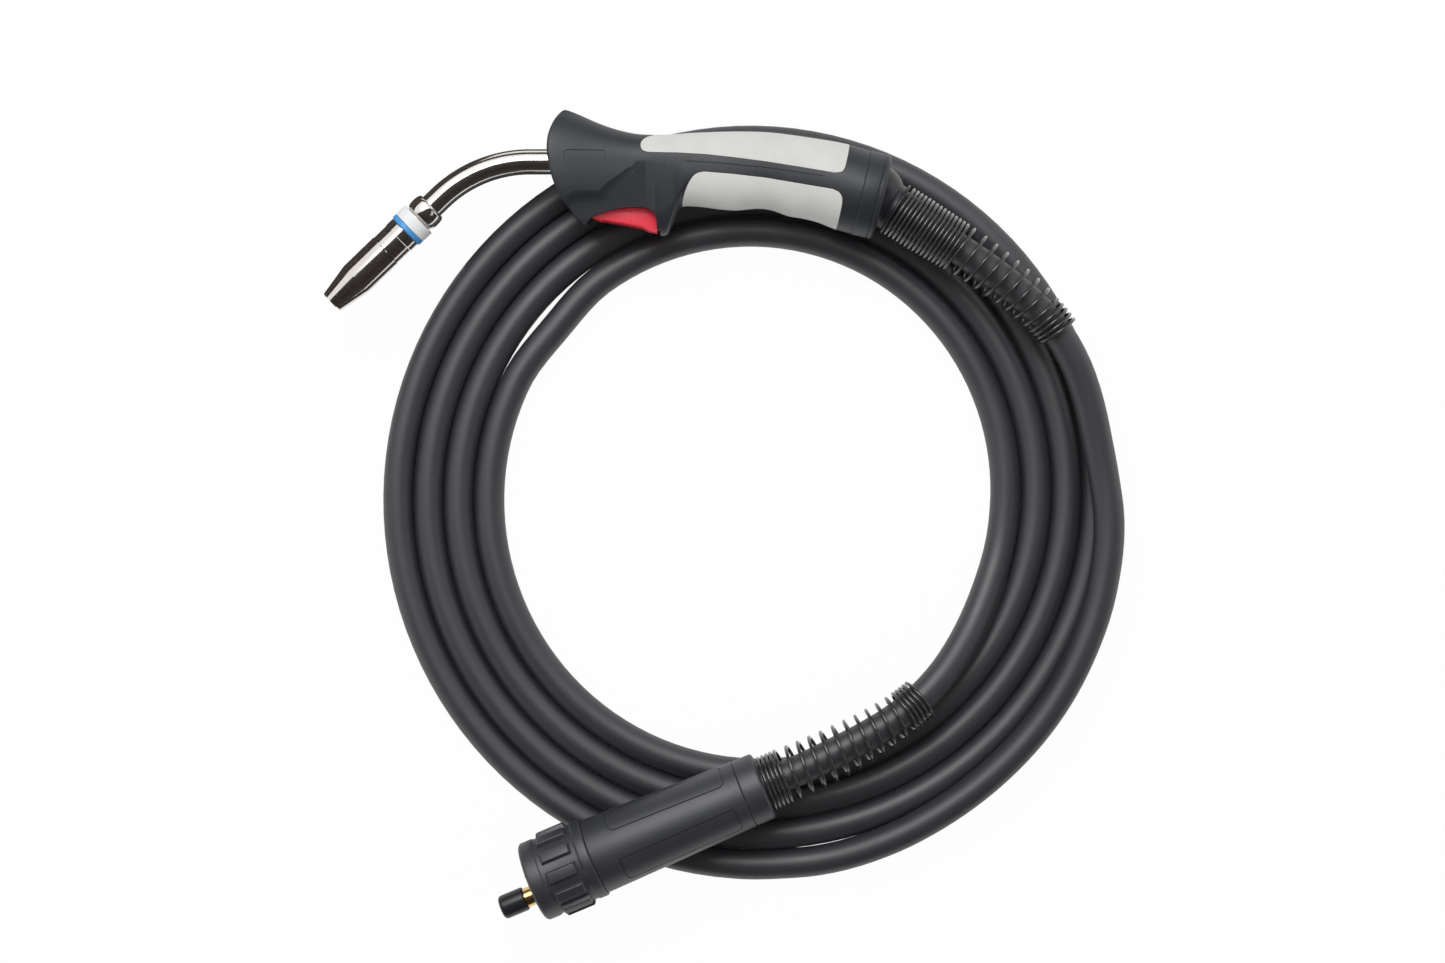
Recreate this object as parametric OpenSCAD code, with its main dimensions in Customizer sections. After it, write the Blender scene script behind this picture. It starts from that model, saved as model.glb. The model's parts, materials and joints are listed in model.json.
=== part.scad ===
// Air-cooled MIG welding torch with a coiled cable: swan neck, gas nozzle and
// contact tip, moulded two-part handle with trigger, ball-jointed cable support,
// about four metres of cable and a central connector with its union nut.
//
// Frame: millimetres, +Z up. The origin is the middle of the cable coil on the
// surface that the coil lies on. The handle and the connector lie on top of the
// coil, so the handle's thickness runs along Z and its trigger faces -Y.

/* [Cable] */
// Outer diameter of the cable jacket
cable_d = 14.4; // [13:0.1:15]
// Gap between neighbouring turns of the coil
coil_gap = 0.45; // [0.42:0.01:0.6]
// Mean radius of the outermost turn where the coil starts
coil_r = 179.8; // [178:0.1:182]
// How much the coil is drawn out along Y and in along X
coil_oval = 1.3; // [0:0.1:2]
// Number of turns in the coil
coil_turns = 3.75; // [1.75:1:3.75]
// How far the innermost turn bulges in where it lies slack
coil_slack = 2.2; // [0:0.1:3]

/* [Springs] */
// Diameter of the wire of both bend-protection springs
wire_d = 1.8; // [1.6:0.05:1.9]
// Outer diameter of the torch spring at the ball joint
torch_spring_d = 27; // [26.6:0.1:28]
// Outer diameter of the connector spring at the connector
plug_spring_d = 27.6; // [26.6:0.1:28]
// Outer diameter of both springs at their free ends
spring_tip_d = 21.6; // [21.2:0.1:23]
// Lead of one open turn
open_pitch = 6.2; // [5:0.1:7]
// Lead of one close-wound turn
close_pitch = 2.66; // [2.66:0.01:2.8]
// Length of the spigots that the springs are pushed over
spring_seat = 9; // [6:0.5:9]

/* [Neck and nozzle] */
// Outer diameter of the swan neck
neck_d = 12; // [11:0.1:13]
// Wall of the swan neck
neck_wall = 1.6; // [1:0.1:2]
// Bend radius of the swan neck
neck_r = 61.7; // [50:0.1:70]
// Bend angle of the swan neck
neck_angle = 44; // [30:1:60]
// Outer diameter of the two rings behind the nozzle
ring_d = 18.1; // [17.6:0.1:19]
// Length of the insulating ring
white_ring_l = 6; // [5:0.1:7]
// Length of the seal ring
blue_ring_l = 2.5; // [2:0.1:3]
// Outer diameter of the gas nozzle
nozzle_d = 17; // [16.6:0.1:17.4]
// Outer diameter of the gas nozzle's mouth
mouth_d = 11.4; // [11.2:0.1:13]
// Bore of the gas nozzle's mouth
mouth_bore = 9.5; // [9:0.1:10]
// Whole length of the gas nozzle
nozzle_l = 48.8; // [46:0.1:56]
// Length of the gas nozzle's tapered end
taper_l = 16.3; // [12:0.1:20]
// How far the contact tip sits behind the nozzle's mouth
tip_recess = 5.6; // [5.2:0.1:8]
// Outer diameter of the contact tip
tip_d = 6; // [5.6:0.1:6.4]
// Bore of the contact tip
wire_bore = 1; // [0.8:0.1:1.2]

/* [Handle] */
// Height of the handle's middle plane above the surface
handle_z = 33.7; // [33.6:0.1:40]
// Wall of the handle shells
shell_wall = 2.6; // [2.2:0.1:3]
// Thickness of the soft grip pads
pad_t = 1.4; // [1:0.1:1.8]
// Diameter of the ball of the ball joint
ball_d = 31; // [30.6:0.1:31.4]
// Outer diameter of the collar at the rear of the handle
collar_d = 40.8; // [40.4:0.1:40.8]
// Length of the collar
collar_l = 10.7; // [10:0.1:12]
// Width of the trigger
trigger_w = 11; // [9:0.1:12]
// Free angle of the trigger
trigger_travel = 6; // [3:1:6]

/* [Connector] */
// Height of the connector's axis above the surface
plug_z = 31.6; // [31.6:0.1:38]
// Length of the union nut
nut_l = 32; // [31:0.1:34]
// Outer diameter of the union nut
nut_d = 38.8; // [38:0.1:39.4]
// Number of grip ribs round the union nut
nut_ribs = 12; // [8:1:14]
// Height of the grip ribs
rib_h = 1.6; // [1:0.1:2]
// Front diameter of the connector housing
housing_front_d = 36.6; // [36:0.1:37]
// Rear diameter of the connector housing
housing_rear_d = 32.7; // [32:0.1:34]
// Length of the connector housing without its end ring
housing_l = 77.5; // [70:0.5:80]
// Length of the end ring
end_ring_l = 10.5; // [9:0.1:12]
// Diameter of the wire and gas pin
gas_pin_d = 9.5; // [9:0.1:10]
// Diameter of each spring contact
contact_d = 3; // [2.6:0.1:3.4]

/* [Hidden] */

$fn = 64;
black = "#26282b";
cable_black = "#2b2d30";
gloss_black = "#141517";
soft_grey = "#cfcfca";
chrome = "#c9c6c2";
brass = "#c8a14a";
copper = "#b8683d";
trigger_red = "#d9263c";
ring_white = "#eef0f2";
ring_blue = "#3aa5e8";
steel = "#8d9094";

fit = 0.1;          // radial clearance of pieces that are pushed together
run = 0.05;         // radial clearance of a shaft that turns
air = 0.3;          // clearance between pieces that move past each other
through = 1;        // how far a cut runs past a face
tiny = 0.01;

// ---------------------------------------------------------------- frames

handle_at = [-99.3, 159.3, handle_z];   // where the neck enters the handle
ball_at = [155.2, -16, 0];              // ball joint, from handle_at
collar_tilt = 13.5;                     // the collar's axis points down by this
spring_tilt = 32;                       // the cable leaves the ball along this
plug_at = [-106.6, -185.3, plug_z];     // middle of the union nut's front face
plug_turn = 22.8;
plug_l = nut_l + housing_l + end_ring_l;
cable_end_s = 66;                       // the cable ends this far behind the nut's front face

module at_handle() translate(handle_at) children();

// z runs backwards along the collar's axis from the middle of the ball
module at_collar() at_handle() translate(ball_at) rotate([0, 0, -collar_tilt])
    rotate([0, 90, 0]) children();

// z runs backwards along the cable support's axis from the middle of the ball
module at_support() at_handle() translate(ball_at) rotate([0, 0, -spring_tilt])
    rotate([0, 90, 0]) children();

// z runs along the handle, from the front towards the ball
module along_handle(u = 0, v = 0) at_handle() translate([u, v, 0]) rotate([0, 90, 0]) children();

// z runs backwards along the connector from the union nut's front face
module at_plug(s = 0) translate(plug_at) rotate([0, 0, plug_turn]) rotate([0, 90, 0])
    translate([0, 0, s]) children();

// z runs towards the nozzle's mouth, from where the two neck axes would meet
module at_tip(s = 0) at_handle() translate([neck_bend_u - neck_r * tan(neck_angle / 2), 0, 0])
    rotate([0, 0, 180 + neck_angle]) rotate([0, 90, 0]) translate([0, 0, s]) children();

module ring_cut(outer_r, inner_r, length) {
    difference() {
        cylinder(r = outer_r, h = length);
        translate([0, 0, -through]) cylinder(r = inner_r, h = length + 2 * through);
    }
}

// ---------------------------------------------------------------- swept tubes

function unit(v) = v / norm(v);
function lerp(a, b, t) = a + (b - a) * t;
function smooth(x) = let (c = min(1, max(0, x))) c * c * (3 - 2 * c);

// length along a list of points, up to each of them
function run_lengths(p) = [for (i = 0, s = 0; i < len(p);
    s = i < len(p) - 1 ? s + norm(p[i + 1] - p[i]) : s, i = i + 1) s];

function stretch_of(lengths, s, i = 0) =
    i >= len(lengths) - 2 || lengths[i + 1] > s ? i : stretch_of(lengths, s, i + 1);

// a smooth curve through the points p, at t along the stretch i
function curve(p, i, t) = let (
        a = p[max(0, i - 1)], b = p[i], c = p[i + 1], d = p[min(len(p) - 1, i + 2)])
    0.5 * (2 * b + (c - a) * t + (2 * a - 5 * b + 4 * c - d) * t * t
        + (3 * b - a - 3 * c + d) * t * t * t);

function point_at(p, lengths, s) = let (i = stretch_of(lengths, s))
    curve(p, i, (s - lengths[i]) / (lengths[i + 1] - lengths[i]));

function direction_at(p, lengths, s) =
    unit(point_at(p, lengths, s + 0.5) - point_at(p, lengths, s - 0.5));

function tangent(p, i) = unit(p[min(len(p) - 1, i + 1)] - p[max(0, i - 1)]);

// one closed tube along the points p; sideways[i] is any vector off the tangent
module tube(p, sideways, d, sides, first_angle = 0) {
    n = len(p);
    rings = [for (i = [0:n - 1]) let (
            t = tangent(p, i), b = unit(cross(t, sideways[i])), a = cross(b, t))
        for (k = [0:sides - 1]) let (w = first_angle + 360 * k / sides)
            p[i] + d / 2 * (cos(w) * a + sin(w) * b)];
    walls = [for (i = [0:n - 2], k = [0:sides - 1]) let (
            a = i * sides + k, b = i * sides + (k + 1) % sides)
        each [[a, b, b + sides], [a, b + sides, a + sides]]];
    last = (n - 1) * sides;
    ends = [for (k = [1:sides - 2]) each [[0, k + 1, k], [last, last + k, last + k + 1]]];
    polyhedron(rings, concat(walls, ends));
}

// least distance between stretches of a tube that are at least apart points away
function self_gap(p, d, apart) = min([for (i = [0:len(p) - 1 - apart])
    min([for (j = [i + apart:len(p) - 1]) norm(p[i] - p[j])])]) - d;

// ---------------------------------------------------------------- cable

flat_depth = cable_d / 10;              // the cable is flat where it is laid down
lay_z = cable_d / 2 - flat_depth;       // middle of the cable above the surface
loop_rings = 24;
slack_at = coil_turns * 360 - 142;      // middle of the slack stretch
slack_reach = 34;                       // the bulge fades out over this angle to either side
start_lean = 2;                         // the coil's straight first piece leans in by this
end_lean = 4;                           // and its straight last piece by this
cable_sides = 8;

function coil_point(a) = let (
        r = coil_r - (cable_d + coil_gap) * a / 360 + coil_oval * cos(2 * a)
            - coil_slack * smooth(1 - abs(a - slack_at) / slack_reach))
    [-r * sin(a), -r * cos(a), lay_z];

coil_turn_points = [for (i = [0:coil_turns * loop_rings]) coil_point(i * 360 / loop_rings)];
start_axis = [cos(start_lean), sin(start_lean), 0];
end_axis = [-sin(end_lean), -cos(end_lean), 0];
coil_start = coil_turn_points[0] + cable_d * start_axis;
coil_last = coil_turn_points[len(coil_turn_points) - 1];
coil_end = coil_last + cable_d * end_axis;
coil_points = concat([coil_start], coil_turn_points, [coil_end]);

ball_middle = handle_at + ball_at;
support_axis = [cos(spring_tilt), -sin(spring_tilt), 0];

// from the ball, through the torch spring and over the coil down to its start
torch_end_points = concat([ball_middle, ball_middle + 15 * support_axis], [
    [84, 125.8, 33.6], [101, 115.2, 33.2], [117, 104, 32.2], [132, 91.8, 30.6],
    [145, 78, 28.6], [154.4, 62, 26.4], [160.8, 44, 24.2], [165.2, 25, 22.4],
    [168.8, 6, 21.4], [171, -12, 21], [169.8, -33, 20.6], [164.2, -59, 20],
    [152.4, -87.5, 19.2], [137.4, -111.3, 18.2], [118.8, -131.9, 17], [97.3, -149.6, 15.2],
    [73.2, -164.2, 13], [50.2, -173.8, 10.2], [30.9, -178.8, 7.4]],
    [coil_start + cable_d / 4 * start_axis, coil_start]);

function plug_point(s) = plug_at + s * [cos(plug_turn), sin(plug_turn), 0];

// from the end of the coil, up through the connector's spring into the connector
plug_end_points = concat([coil_end, coil_end + cable_d / 4 * end_axis], [
    [119, -29, 6.6], [114.4, -43, 9.4], [108.4, -57.2, 13.6], [101, -71, 18.4],
    [91.6, -84.6, 23], [80.4, -96.6, 26.4], [67.6, -106.8, 28.8], [54, -115, 30.4],
    [39.6, -122.4, 31.4], [25, -129.6, 31.6], [13.6, -134.6, 31.6]],
    [plug_point(plug_l), plug_point(cable_end_s)]);

// what is below the surface is cut off
module laid_down() {
    floor_size = 3 * coil_r;
    difference() {
        children();
        translate([-floor_size / 2, -floor_size / 2, -cable_d])
            cube([floor_size, floor_size, cable_d]);
    }
}

module cable_coil() color(cable_black) {
    echo(coil_least_gap = self_gap(coil_points, cable_d, loop_rings / 2));
    laid_down() tube(coil_points, [for (p = coil_points) [0, 0, 1]], cable_d, 6, 30);
}

module free_cable(p) color(cable_black)
    laid_down() tube(p, [for (q = p) [0, 0, 1]], cable_d, cable_sides, 180 / cable_sides);

module cable_torch_end() free_cable(torch_end_points);

module cable_plug_end() free_cable(plug_end_points);

// ---------------------------------------------------------------- springs

curl_rings = 8;
// each spring is close-wound, then open, then closed again: turns of each
torch_spring_turns = [12.5, 8.5, 4];
plug_spring_turns = [3.5, 10.5, 4];
seat_turns = 3.5;                       // turns on the spigot, before the spring narrows

function spring_leads(turns) = [turns[0] * close_pitch, turns[1] * open_pitch,
    turns[2] * close_pitch];

// distance along the spring after n turns
function spring_run(turns, n) = let (first = min(n, turns[0]),
        middle = min(max(0, n - turns[0]), turns[1]), last = max(0, n - turns[0] - turns[1]))
    (first + last) * close_pitch + middle * open_pitch;

function spring_length(turns) = spring_run(turns, turns[0] + turns[1] + turns[2]);

// the wire's points round the cable's points p, from the distance start on
function spring_points(p, start, turns, d1, d2) = let (
        lengths = run_lengths(p), count = (turns[0] + turns[1] + turns[2]) * curl_rings)
    [for (i = [0:count]) let (
            s = start + spring_run(turns, i / curl_rings),
            t = direction_at(p, lengths, s), side = unit(cross(t, [0, 0, 1])),
            up = cross(side, t), w = 360 * i / curl_rings,
            narrow = max(0, i / curl_rings - seat_turns) / (count / curl_rings - seat_turns),
            r = lerp(d1, d2, narrow) / 2 - wire_d / 2)
        point_at(p, lengths, s) + r * (cos(w) * side + sin(w) * up)];

function spring_middles(p, start, turns) = let (
        lengths = run_lengths(p), count = (turns[0] + turns[1] + turns[2]) * curl_rings)
    [for (i = [0:count]) point_at(p, lengths, start + spring_run(turns, i / curl_rings))];

// the wire with a straight run of one wire diameter at each end
module spring(p, start, turns, d1, d2) {
    wire = spring_points(p, start, turns, d1, d2);
    middles = spring_middles(p, start, turns);
    n = len(wire);
    outwards = [for (i = [0:n - 1]) wire[i] - middles[i]];
    first = wire[0] - wire_d * unit(wire[1] - wire[0]);
    last = wire[n - 1] + wire_d * unit(wire[n - 1] - wire[n - 2]);
    echo(spring_least_gap = self_gap(wire, wire_d, curl_rings / 2));
    tube(concat([first], wire, [last]),
        concat([outwards[0]], outwards, [outwards[n - 1]]), wire_d, 6);
}

ball_r = ball_d / 2;
flange_s = 12;                          // front of the support's flange
flange_t = 1.3;
torch_spring_s = flange_s + flange_t + air + wire_d / 2;
plug_spring_s = air + wire_d / 2;       // behind the end ring's rear face

module torch_spring() color(gloss_black)
    spring(torch_end_points, torch_spring_s, torch_spring_turns, torch_spring_d, spring_tip_d);

// counted from the connector, so the cable's points are taken backwards
plug_spring_path = [for (i = [len(plug_end_points) - 2:-1:0]) plug_end_points[i]];

module plug_spring() color(gloss_black)
    spring(plug_spring_path, plug_spring_s, plug_spring_turns, plug_spring_d, spring_tip_d);

// radius of the spigot that a spring is pushed over
function spigot_for(spring_d) =
    (spring_d - wire_d) / 2 * cos(180 / curl_rings) - wire_d / 2 - air;

// ---------------------------------------------------------------- ball joint

ball_front = 7;                         // the ball is cut off this far before its middle
swivel = 22;                            // the joint swings this far from its axis
stub_end = 4;                           // the handle's cable ends this far before the ball's middle

module support_ball() color(gloss_black) at_support() {
    funnel_r = cable_d / 2 / cos(swivel) + ball_front * tan(swivel) + air;
    throat_r = cable_d / 2 / cos(swivel) + air;
    bore_r = cable_d / 2 + 2 * fit;
    whole_l = flange_s + flange_t + spring_seat;
    difference() {
        union() {
            sphere(r = ball_r);
            cylinder(r = ball_r - 3.7, h = flange_s + flange_t / 2);
            translate([0, 0, flange_s]) cylinder(d = torch_spring_d, h = flange_t);
            cylinder(r = spigot_for(torch_spring_d), h = whole_l);
        }
        translate([0, 0, -ball_r - through]) cylinder(r = ball_r + through,
            h = ball_r + through - ball_front);
        translate([0, 0, -ball_front - tiny]) cylinder(r1 = funnel_r, r2 = throat_r,
            h = ball_front + 2 * tiny);
        cylinder(r = bore_r, h = whole_l + through);
        cylinder(r1 = throat_r, r2 = bore_r, h = 1);
    }
}

collar_front = -6;                      // along the collar's axis, from the ball's middle
collar_rear = collar_front + collar_l;
lip_t = 0.8;
seat_r = ball_r + air;
spigot_r = collar_d / 2 - 2.3;          // round end of the shells inside the collar

module handle_collar() color(black) at_collar() {
    groove_s = 7.5;
    groove = 0.3;
    difference() {
        translate([0, 0, collar_front]) rotate_extrude() polygon([
            [spigot_r + fit, 0], [collar_d / 2, 0], [collar_d / 2, groove_s],
            [collar_d / 2 - groove, groove_s], [collar_d / 2 - groove, groove_s + 2 * groove],
            [collar_d / 2, groove_s + 2 * groove], [collar_d / 2, collar_l - 1.2],
            [collar_d / 2 - 1.2, collar_l], [0, collar_l], [0, collar_l - lip_t],
            [spigot_r + fit, collar_l - lip_t]]);
        translate([0, 0, collar_rear - lip_t - through]) cylinder(
            r = sqrt(pow(ball_r, 2) - pow(collar_rear - lip_t, 2)) + fit, h = lip_t + 2 * through);
    }
}

// ---------------------------------------------------------------- handle shape

// The handle's outline is lofted through rings. Each ring runs through a point on
// the top edge and one on the bottom edge, both in the handle's middle plane.
ring_points = 20;
front_bow = 2.6;                        // how square the front edge's bow is

// top u, top v, bottom u, bottom v, bow forwards, half thickness
flare_rings = [
    [9, 23.2, 19.6, -30.4, 12.6, 17.2],
    [8.4, 24.4, 19, -32, 11.4, 18.6],
    [17, 21.4, 25.5, -33.4, 8.6, 18.2],
    [25, 17.9, 33, -33.8, 5.6, 17],
    [34, 14.9, 41, -34.2, 2.8, 16],
    [44, 12.9, 48, -34.6, 0.8, 15.5],
    [53, 12.6, 54.5, -34.9, 0, 15.3],
    [57, 12.7, 57.4, -34.2, 0, 15.3],
    [60, 12.9, 59.6, -29.6, 0, 15.4],
    [62, 13, 61.4, -23.6, 0, 15.5]];

// top u, top v, bottom u, bottom v, half thickness
grip_rings = [
    [64.5, 13.2, 63.6, -20.8, 15.6],
    [80, 14, 79, -22.2, 16.1],
    [90, 14.2, 89.5, -23, 16.3],
    [100, 14.1, 100, -22.2, 16.4],
    [108, 13.6, 107, -23, 16.5],
    [117, 12.5, 115, -25.8, 16.8],
    [126, 11.2, 122.5, -27.1, 17.4],
    [135, 9.8, 129.5, -29, 18.2],
    [144, 8, 137, -32, 19.2]];
guard_middle = -1;                      // where the flare is thickest

// a rounded ring: upper and lower half have their own height, n sets squareness
function rounded_ring(top, bottom, middle, half, n, bow, grow, count) =
    [for (k = [0:count - 1]) let (
            w = 360 * k / count, c = cos(w), s = sin(w),
            up = c > 0 ? top[1] + grow - middle : middle - bottom[1] + grow,
            v = middle + up * sign(c) * pow(abs(c), 2 / n),
            t = (v - bottom[1]) / (top[1] - bottom[1]),
            curved = bow * (1 - pow(abs(2 * t - 1), front_bow)))
        [lerp(bottom[0], top[0], t) - curved, v,
            (half + grow) * sign(s) * pow(abs(s), 2 / n)]];

function flare_ring(r, grow, count) = rounded_ring([r[0], r[1]], [r[2], r[3]],
    guard_middle, r[5], 2.3, r[4], grow, count);

function grip_ring(r, grow, count) = rounded_ring([r[0], r[1]], [r[2], r[3]],
    (r[1] + r[3]) / 2, r[4], lerp(2.5, 2.1, (r[0] - 64) / 80), 0, grow, count);

// the last ring is round and stands square to the collar's axis
collar_shoulder_r = collar_d / 2 - 0.2;
shoulder_middle = [ball_at[0] + collar_front * cos(collar_tilt),
    ball_at[1] - collar_front * sin(collar_tilt)];

function shoulder_ring(grow, count) = [for (k = [0:count - 1]) let (
        w = 360 * k / count, r = collar_shoulder_r + grow)
    [shoulder_middle[0] + r * cos(w) * sin(collar_tilt),
        shoulder_middle[1] + r * cos(w) * cos(collar_tilt), r * sin(w)]];

// the rings from the given flare ring on
function handle_rings(grow, first = 0, count = ring_points) = concat(
    [for (i = [first:len(flare_rings) - 1]) flare_ring(flare_rings[i], grow, count)],
    [for (r = grip_rings) grip_ring(r, grow, count)], [shoulder_ring(grow, count)]);

// skin between rings whose points pair up left and right of the middle plane
module loft(rings) {
    n = len(rings[0]);
    last = (len(rings) - 1) * n;
    walls = [for (i = [0:len(rings) - 2], k = [0:n - 1]) let (
            a = i * n + k, b = i * n + (k + 1) % n)
        each [[a, b + n, b], [a, a + n, b + n]]];
    across = [for (k = [1:n / 2 - 2]) each [[k, k + 1, n - k - 1], [k, n - k - 1, n - k]]];
    front = concat([[0, 1, n - 1], [n / 2 - 1, n / 2, n / 2 + 1]], across);
    rear = [for (f = front) [f[2] + last, f[1] + last, f[0] + last]];
    polyhedron([for (r = rings) each r], concat(walls, front, rear));
}

module handle_outside() loft(handle_rings(0));

top_pad_first = 4;                      // the first flare ring that the top pad needs
belly_pad_first = 9;

// outlines of the soft pads, seen along Z
top_pad_outline = [[51.4, 26], [51.4, 12.8], [47.4, 11.6], [45, 9.4], [44.4, 7.2], [45.4, 5.2],
    [48.5, 4.6], [64, 4.2], [78, 3.2], [92, 1.7], [106, -0.1], [120, -2.4], [137, -5.7],
    [139.6, -5.4], [141, -3.8], [142.6, 1.5], [145.5, 14], [145.5, 26]];
belly_pad_outline = [[65.2, -40], [64.4, -18.5], [66.4, -12.4], [68.6, -7.6], [71, -5.2],
    [75, -4.4], [87, -5.6], [110, -9.6], [124, -12], [137.4, -13.9], [139.9, -15.2],
    [141.3, -17.6], [141.1, -21], [138.8, -31], [136.8, -40]];

// the room of the pads: everything in their outlines down to the pads' depth
module pad_room(outlines, first) {
    reach = collar_d;
    difference() {
        translate([0, 0, -reach]) linear_extrude(height = 2 * reach)
            for (o = outlines) polygon(o);
        loft(handle_rings(-pad_t, first));
    }
}

// keeps the half above the middle plane (side 1) or below it (side -1)
module half(side) {
    size = 400;
    intersection() {
        children();
        translate([-size / 2, -size / 2, side > 0 ? 0 : -size]) cube(size);
    }
}

module grip_pad(side, outline, first) color(soft_grey) at_handle() half(side) intersection() {
    loft(handle_rings(0, first));
    pad_room([outline], first);
}

module top_pad_upper() grip_pad(1, top_pad_outline, top_pad_first);
module top_pad_lower() grip_pad(-1, top_pad_outline, top_pad_first);
module belly_pad_upper() grip_pad(1, belly_pad_outline, belly_pad_first);
module belly_pad_lower() grip_pad(-1, belly_pad_outline, belly_pad_first);

// ---------------------------------------------------------------- handle shells

trigger_pivot = [22.5, -23];
pin_r = 1.5;
pin_half = 9.5;
pocket_front = 19.2;
pocket_rear = 52.6;
pocket_top = -14.4;
pocket_half = trigger_w / 2 + air;
block_front = 16;
block_l = 30;
block_r = 8.5;
crimp_l = 26;
crimp_r = 8.7;
crimp_stop = 11;                        // the cable's jacket is pushed into the crimp up to here
crimp_front = block_front + block_l + 0.2;
switch_size = [13.4, 5.8, 6.2];
switch_at = [33, -9, 0];                // front top corner, in the middle plane
screw_places = [[14, 13], [56, -25.6], [147, 1]];
screw_r = 1.5;
screw_head_r = 2.9;
screw_head_depth = 2.4;
screw_deep = 6;
window_r = 34;

// solid walls across the hollow shells, as [from, to] along the handle
bulkheads = [[10, 16 - air], [28, switch_at[0] - air], [switch_at[0] + switch_size[0] + air, 50],
    [98, 102], [134, 160]];

hollow_first = 2;                       // the first flare ring that the hollow needs

module hollow() {
    reach = collar_d;
    difference() {
        loft(handle_rings(-shell_wall, hollow_first, 12));
        for (b = bulkheads) translate([b[0], -reach, -reach]) cube([b[1] - b[0], 2 * reach, 2 * reach]);
        for (p = screw_places) translate([p[0], p[1], -reach])
            cylinder(r = screw_r + shell_wall, h = 2 * reach);
    }
}

// everything that shows below the window's edge between the two guards
module trigger_window() {
    reach = collar_d;
    translate([0, 0, -reach]) linear_extrude(height = 2 * reach) intersection() {
        translate([38, pocket_top - 7.2 - window_r]) circle(r = window_r, $fn = 96);
        polygon([[21.6, -26.9], [23.4, -20], [47.8, -20], [49.6, -22.4], [50.4, -26],
            [50.8, -40], [14, -40], [17.4, -31.6]]);
    }
}

// the cheeks beside the trigger are dished: flats that lean in towards the trigger
cheek_z = 15.6;                         // half thickness where a flat starts, at the line between the pads
cheek_lean = 0.16;
cheek_front_rise = 0.09;                // the front flat leans out again
cheek_fold = 26.6;                      // where the two flats meet
cheek_top = -0.8;

module cheek(outline, rise) multmatrix([[1, 0, 0, 0], [0, 1, 0, 0],
        [-rise, cheek_lean, 1, cheek_z - cheek_lean * cheek_top + rise * cheek_fold], [0, 0, 0, 1]])
    linear_extrude(height = collar_d) polygon(outline);

module cheeks(side) mirror([0, 0, side > 0 ? 0 : 1]) {
    cheek([[40.8, -0.7], [cheek_fold, -15.9], [cheek_fold, -40], [64, -40], [63.6, -18.5],
        [65.6, -12.2], [67.9, -7.2], [70, -4.7], [70, -1.9]], 0);
    cheek([[cheek_fold + tiny, -15.9], [cheek_fold - 3, -17.2], [14, -17.8], [4, -22.8], [4, -40],
        [cheek_fold + tiny, -40]], cheek_front_rise);
}

module trigger_pocket() {
    translate([pocket_front, -40, -pocket_half])
        cube([pocket_rear - pocket_front, 40 + pocket_top, 2 * pocket_half]);
}

module switch_pocket() {
    translate([switch_at[0] - air, pocket_top - through, -switch_size[2] / 2 - air])
        cube([switch_size[0] + 2 * air, switch_at[1] - pocket_top + through + air,
            switch_size[2] + 2 * air]);
    translate([switch_at[0], wire_v - switch_wire_d / 2 - air, -wire_gap - switch_wire_d - air])
        cube([18, switch_wire_d + 2 * air, 2 * (wire_gap + switch_wire_d + air)]);
}

module handle_bores() {
    along_u = [0, 90, 0];
    translate([-through, 0, 0]) rotate(along_u)
        cylinder(r = neck_d / 2 + fit, h = block_front + 2 * through);
    translate([block_front - air, 0, 0]) rotate(along_u)
        cylinder(r = block_r + fit, h = block_l + air);
    translate([block_front + block_l - tiny, 0, 0]) rotate(along_u)
        cylinder(r = crimp_r + fit, h = crimp_l + 1);
    translate([trigger_pivot[0], trigger_pivot[1], -pin_half - air])
        cylinder(r = pin_r + 0.02, h = 2 * (pin_half + air));
}

// the way of the cable through the rib and the rear bulkhead
module cable_way() {
    way_r = cable_d / 2 + 0.4;
    translate([96, -3, 0]) rotate([0, 0, -11]) rotate([0, 90, 0]) cylinder(r = way_r, h = 8);
    translate(ball_at) rotate([0, 0, -collar_tilt]) rotate([0, 90, 0])
        translate([0, 0, -26]) cylinder(r = way_r, h = 15);
}

module shell(side) at_handle() difference() {
    half(side) union() {
        handle_outside();
        translate(ball_at) rotate([0, 0, -collar_tilt]) rotate([0, 90, 0])
            translate([0, 0, collar_front - 2])
                cylinder(r = spigot_r, h = collar_l - lip_t - air + 2);
    }
    pad_room([top_pad_outline, belly_pad_outline], top_pad_first);
    hollow();
    cheeks(side);
    trigger_window();
    trigger_pocket();
    switch_pocket();
    handle_bores();
    cable_way();
    translate(ball_at) sphere(r = seat_r);
}

module handle_shell_upper() color(black) difference() {
    shell(1);
    at_handle() for (p = screw_places) translate([p[0], p[1], -through])
        cylinder(r = screw_r + 0.02, h = screw_deep + through);
}

module handle_shell_lower() color(black) difference() {
    shell(-1);
    at_handle() for (p = screw_places) {
        translate([p[0], p[1], -collar_d]) cylinder(r = screw_r + fit, h = collar_d + through);
        translate([p[0], p[1], -collar_d]) cylinder(r = screw_head_r + fit,
            h = collar_d - screw_deep);
    }
}

module handle_screws() color(steel) at_handle() for (p = screw_places) {
    translate([p[0], p[1], -screw_deep]) cylinder(r = screw_r, h = 2 * screw_deep - 0.5);
    translate([p[0], p[1], -screw_deep - screw_head_depth]) difference() {
        cylinder(r = screw_head_r, h = screw_head_depth);
        translate([0, 0, -through]) cylinder(r = 1.3, h = 1.4 + through, $fn = 6);
    }
}

// ---------------------------------------------------------------- neck and nozzle

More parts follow.
